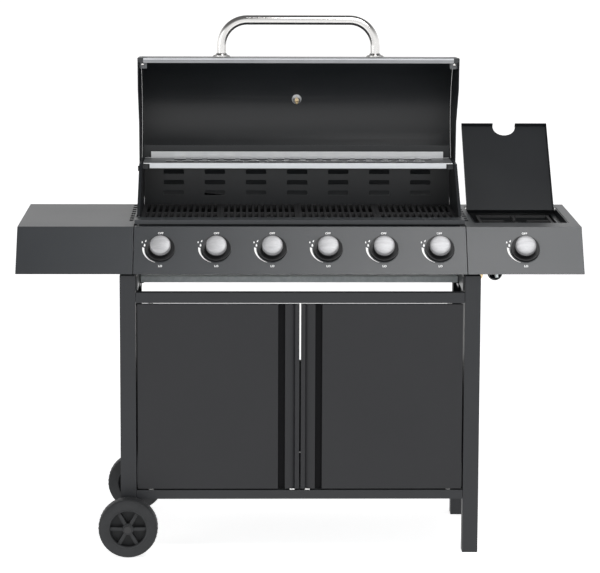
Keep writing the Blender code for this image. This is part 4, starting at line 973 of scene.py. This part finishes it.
# %% [markdown]
# The wheels are moulded in one piece: a tyre with tread blocks, a deep dish, six spokes and a
# hub. The tyre's outline is turned, the spokes and tread blocks are modelled once and copied
# round, and the parts are joined. The axle's end shows in the hub.
# %% Wheels
def wheel_pieces(name, outside, inward):
    """One wheel, made from its outer face inwards."""
    tyre = turned(
        name,
        [
            (0.0450, 0.0240), (0.0450, 0.0050), (0.0470, 0.0030), (0.0490, 0.0034), (0.0500, 0.0046),
            (0.0580, 0.0034), (0.0670, 0.0040), (0.0715, 0.0062), (0.0733, 0.0095), (0.0737, 0.0200),
            (0.0737, 0.0350), (0.0733, 0.0455), (0.0715, 0.0488), (0.0670, 0.0510), (0.0470, 0.0520),
            (0.0450, 0.0490), (0.0450, 0.0290),
        ],
        outside, inward, 96, True,
    )
    dish = turned(
        name + "_dish", [(0.0120, 0.0230), (0.0452, 0.0230), (0.0452, 0.0275), (0.0120, 0.0275)],
        outside, inward, 64, True,
    )
    hub = turned(
        name + "_hub",
        [
            (0.0066, 0.0002), (0.0095, 0.0002), (0.0095, 0.0012), (0.0125, 0.0012), (0.0140, 0.0026),
            (0.0146, 0.0250), (0.0140, 0.0598), (0.0066, 0.0598),
        ],
        outside, inward, 48, True,
    )
    stand = Vector((0, 0, 1)).rotation_difference(inward).to_matrix().to_4x4()
    spokes, blocks = [], []
    spoke = block("spoke", (-0.0042, 0.0130, 0.0085), (0.0042, 0.0455, 0.0240))
    pick(spoke, lambda centre, normal: normal.z < -0.9)
    bpy.ops.mesh.inset(thickness=0.0012, depth=-0.0010)
    leave()
    pick(spoke, lambda point: point.y < 0.02 and point.z < 0.012, "VERT")
    bpy.ops.transform.translate(value=(0, 0, -0.0045))
    leave()
    for number in range(6):
        around = Matrix.Rotation(math.radians(60 * number + 30), 4, "Z")
        spokes.append(copied(spoke, "spoke", turn=Matrix.Translation(outside) @ stand @ around))
    tread = block("tread", (-0.0023, 0.0690, 0.0042), (0.0023, 0.0744, 0.0170))
    pick(tread, lambda point: point.z < 0.006 and point.y > 0.072, "VERT")
    bpy.ops.transform.translate(value=(0, -0.0030, 0.0012))
    leave()
    for number in range(40):
        for flip in (False, True):
            angle = math.radians(9 * number + (4.5 if flip else 0))
            around = Matrix.Rotation(angle, 4, "Z")
            if flip:
                around = around @ Matrix.Translation((0, 0, 0.0550)) @ Matrix.Rotation(math.pi, 4, "Y")
            blocks.append(copied(tread, "tread", turn=Matrix.Translation(outside) @ stand @ around))
    for item in (spoke, tread):
        bpy.data.objects.remove(item, do_unlink=True)
    return joined(name, [tyre, dish, hub] + spokes + blocks)


for end, name in ((-1, "front"), (1, "rear")):
    low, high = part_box(f"wheel_{name}")
    middle = (low + high) / 2
    outside = Vector((middle.x, low.y if end < 0 else high.y, middle.z))
    wheel = wheel_pieces(f"wheel_{name}_moulding", outside, Vector((0, -end, 0)))
    coated(rounded(wheel, 0.0005, 1), f"{name}_wheel", PLASTIC)
    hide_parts(f"wheel_{name}")
    print("wheel", name, "faces", len(wheel.data.polygons))

# %% [markdown]
# The side burner's galvanised head has a ring of flame ports under a domed cap, and a spark pin
# beside it. The ports are little near-black blocks, painted shade for the port holes. The small
# hinges of its lid show as white bushes at the back corners. A black strip under the vent slots
# of each table is painted shade, so that the slots look as dark as they should.
# %% Side burner details
side_x = SIDE_HINGE.x
burner_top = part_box("side_burner_head")[1].z
burner_middle = spot(side_x, 0.311, burner_top)
cap_top = turned(
    "side_burner_cap",
    [
        (0.0340, 0.0001), (0.0352, 0.0008), (0.0352, 0.0026), (0.0335, 0.0040), (0.0240, 0.0056),
        (0.0120, 0.0064), (0.0010, 0.0066),
    ],
    burner_middle, (0, 0, 1), 48,
)
coated(rounded(cap_top, 0), "cart", CHROME)
ports = []
# Each port is a near-black block: painted shade for the hole.
for number in range(28):
    port = block("port", (-0.0011, 0.0440, -0.0078), (0.0011, 0.0458, -0.0050))
    pick(port, lambda centre, normal: normal.y > 0.9)
    bpy.ops.mesh.inset(thickness=0.0005, depth=-0.0008)
    leave()
    around = Matrix.Rotation(math.tau * number / 28, 4, "Z")
    port.matrix_world = Matrix.Translation(burner_middle) @ around
    ports.append(settle(port))
coated(rounded(joined("side_burner_port_shade", ports), 0.0001, 1), "cart", SHADE_BLACK)
spark = turned(
    "side_burner_spark",
    [
        (0.0034, -0.0300), (0.0034, -0.0120), (0.0028, -0.0100), (0.0012, -0.0098), (0.0012, -0.0010),
        (0.0004, 0.0004),
    ],
    burner_middle + Vector((-0.052, -0.012, 0)), (0, 0, 1), 20,
)
coated(rounded(spark, 0), "cart", NYLON)
for side, sign in (("left", -1), ("right", 1)):
    base = SIDE_HINGE + Vector((sign * 0.1160, 0, 0))
    collar = turned(
        f"side_hinge_bush_{side}",
        [(0.0027, 0), (0.0040, 0), (0.0046, 0.0005), (0.0046, 0.0030), (0.0027, 0.0030)], base,
        (sign, 0, 0), 28, True,
    )
    coated(rounded(collar, 0), "side_lid", NYLON)
# Painted shade: a near-black strip under each table's vent slots, where there is only shade.
for side, sign in (("left", -1), ("right", 1)):
    low, high = sorted((sign * 0.4175, sign * 0.4335))
    shade = block(f"vent_shade_{side}", spot(low, 0.150, 0.8095), spot(high, 0.512, 0.8105))
    pick(shade, lambda centre, normal: abs(normal.x) > 0.9)
    bpy.ops.mesh.extrude_region_move(TRANSFORM_OT_translate={"value": (0, 0, 0.0010)})
    leave()
    coated(rounded(shade, 0.0002), "cart", SHADE_BLACK)
print("side burner dressed")

# %% [markdown]
# The camera stands well back with a long lens, a little above the tables and almost square on,
# as for a catalogue picture. A long lens keeps the upright lines upright.
# %% Camera
VIEW_TURN, VIEW_DIP, VIEW_ROLL = 0.0197, 0.1569, 0.0035
forward = Vector(
    (
        math.sin(VIEW_TURN) * math.cos(VIEW_DIP), math.cos(VIEW_TURN) * math.cos(VIEW_DIP),
        -math.sin(VIEW_DIP),
    )
)
level = Vector((math.cos(VIEW_TURN), -math.sin(VIEW_TURN), 0.0))
above = level.cross(forward)
across = level * math.cos(VIEW_ROLL) + above * math.sin(VIEW_ROLL)
upright = above * math.cos(VIEW_ROLL) - level * math.sin(VIEW_ROLL)
only()
bpy.ops.object.camera_add()
camera = bpy.context.object
turn = Matrix((across, upright, -forward)).transposed().to_4x4()
camera.matrix_world = Matrix.Translation((-0.1368, -7.1909, 1.7669)) @ turn
camera.data.sensor_width = 36.0
camera.data.lens = 168.8
camera.data.clip_end = 100.0
bpy.context.scene.camera = camera
print("camera at", [round(value, 3) for value in camera.location])

# %% [markdown]
# The floor is plain and pale. Two large soft lamps, one above the front and one out to the left,
# give the dark paint wide gentle reflections, and bright surroundings fill the shadows.
# %% Floor and lights
only()
bpy.ops.mesh.primitive_plane_add(size=60.0, location=(0, 0, 0))
floor = bpy.context.object
floor.name = "floor"
paper = bpy.data.materials.new("pale_floor")
paper.use_nodes = True
paper_shader = paper.node_tree.nodes["Principled BSDF"]
paper_shader.inputs["Base Color"].default_value = (0.86, 0.86, 0.86, 1)
paper_shader.inputs["Roughness"].default_value = 0.9
paper_shader.inputs["Emission Color"].default_value = (1, 1, 1, 1)
paper_shader.inputs["Emission Strength"].default_value = 0.78
floor.data.materials.append(paper)
world = bpy.data.worlds.new("studio")
bpy.context.scene.world = world
world.use_nodes = True
sky, sky_links = world.node_tree.nodes, world.node_tree.links
direction = sky.new("ShaderNodeTexCoord")
parts = sky.new("ShaderNodeSeparateXYZ")
fade = sky.new("ShaderNodeMapRange")
fade.interpolation_type = "SMOOTHSTEP"
fade.inputs["From Min"].default_value, fade.inputs["From Max"].default_value = 0.10, 0.70
fade.inputs["To Min"].default_value, fade.inputs["To Max"].default_value = 1.3, 0.17
sky_links.new(direction.outputs["Generated"], parts.inputs["Vector"])
sky_links.new(parts.outputs["Z"], fade.inputs["Value"])
sky_links.new(fade.outputs["Result"], sky["Background"].inputs["Strength"])
sky["Background"].inputs["Color"].default_value = (1, 1, 1, 1)


def soft_light(name, place, target, size, power):
    """A square lamp that faces a point."""
    only()
    bpy.ops.object.light_add(type="AREA", location=place)
    lamp = bpy.context.object
    lamp.name = name
    lamp.data.shape = "SQUARE"
    lamp.data.size = size
    lamp.data.energy = power
    lamp.rotation_mode = "QUATERNION"
    lamp.rotation_quaternion = (Vector(target) - Vector(place)).to_track_quat("-Z", "Y")
    return lamp


soft_light("light_key", (0.75, -1.45, 3.0), (0.25, 0, 0.7), 1.4, 52)
soft_light("light_left", (-3.4, -2.6, 2.2), (0, 0, 0.7), 2.0, 20)
bpy.context.scene.view_settings.view_transform = "Standard"
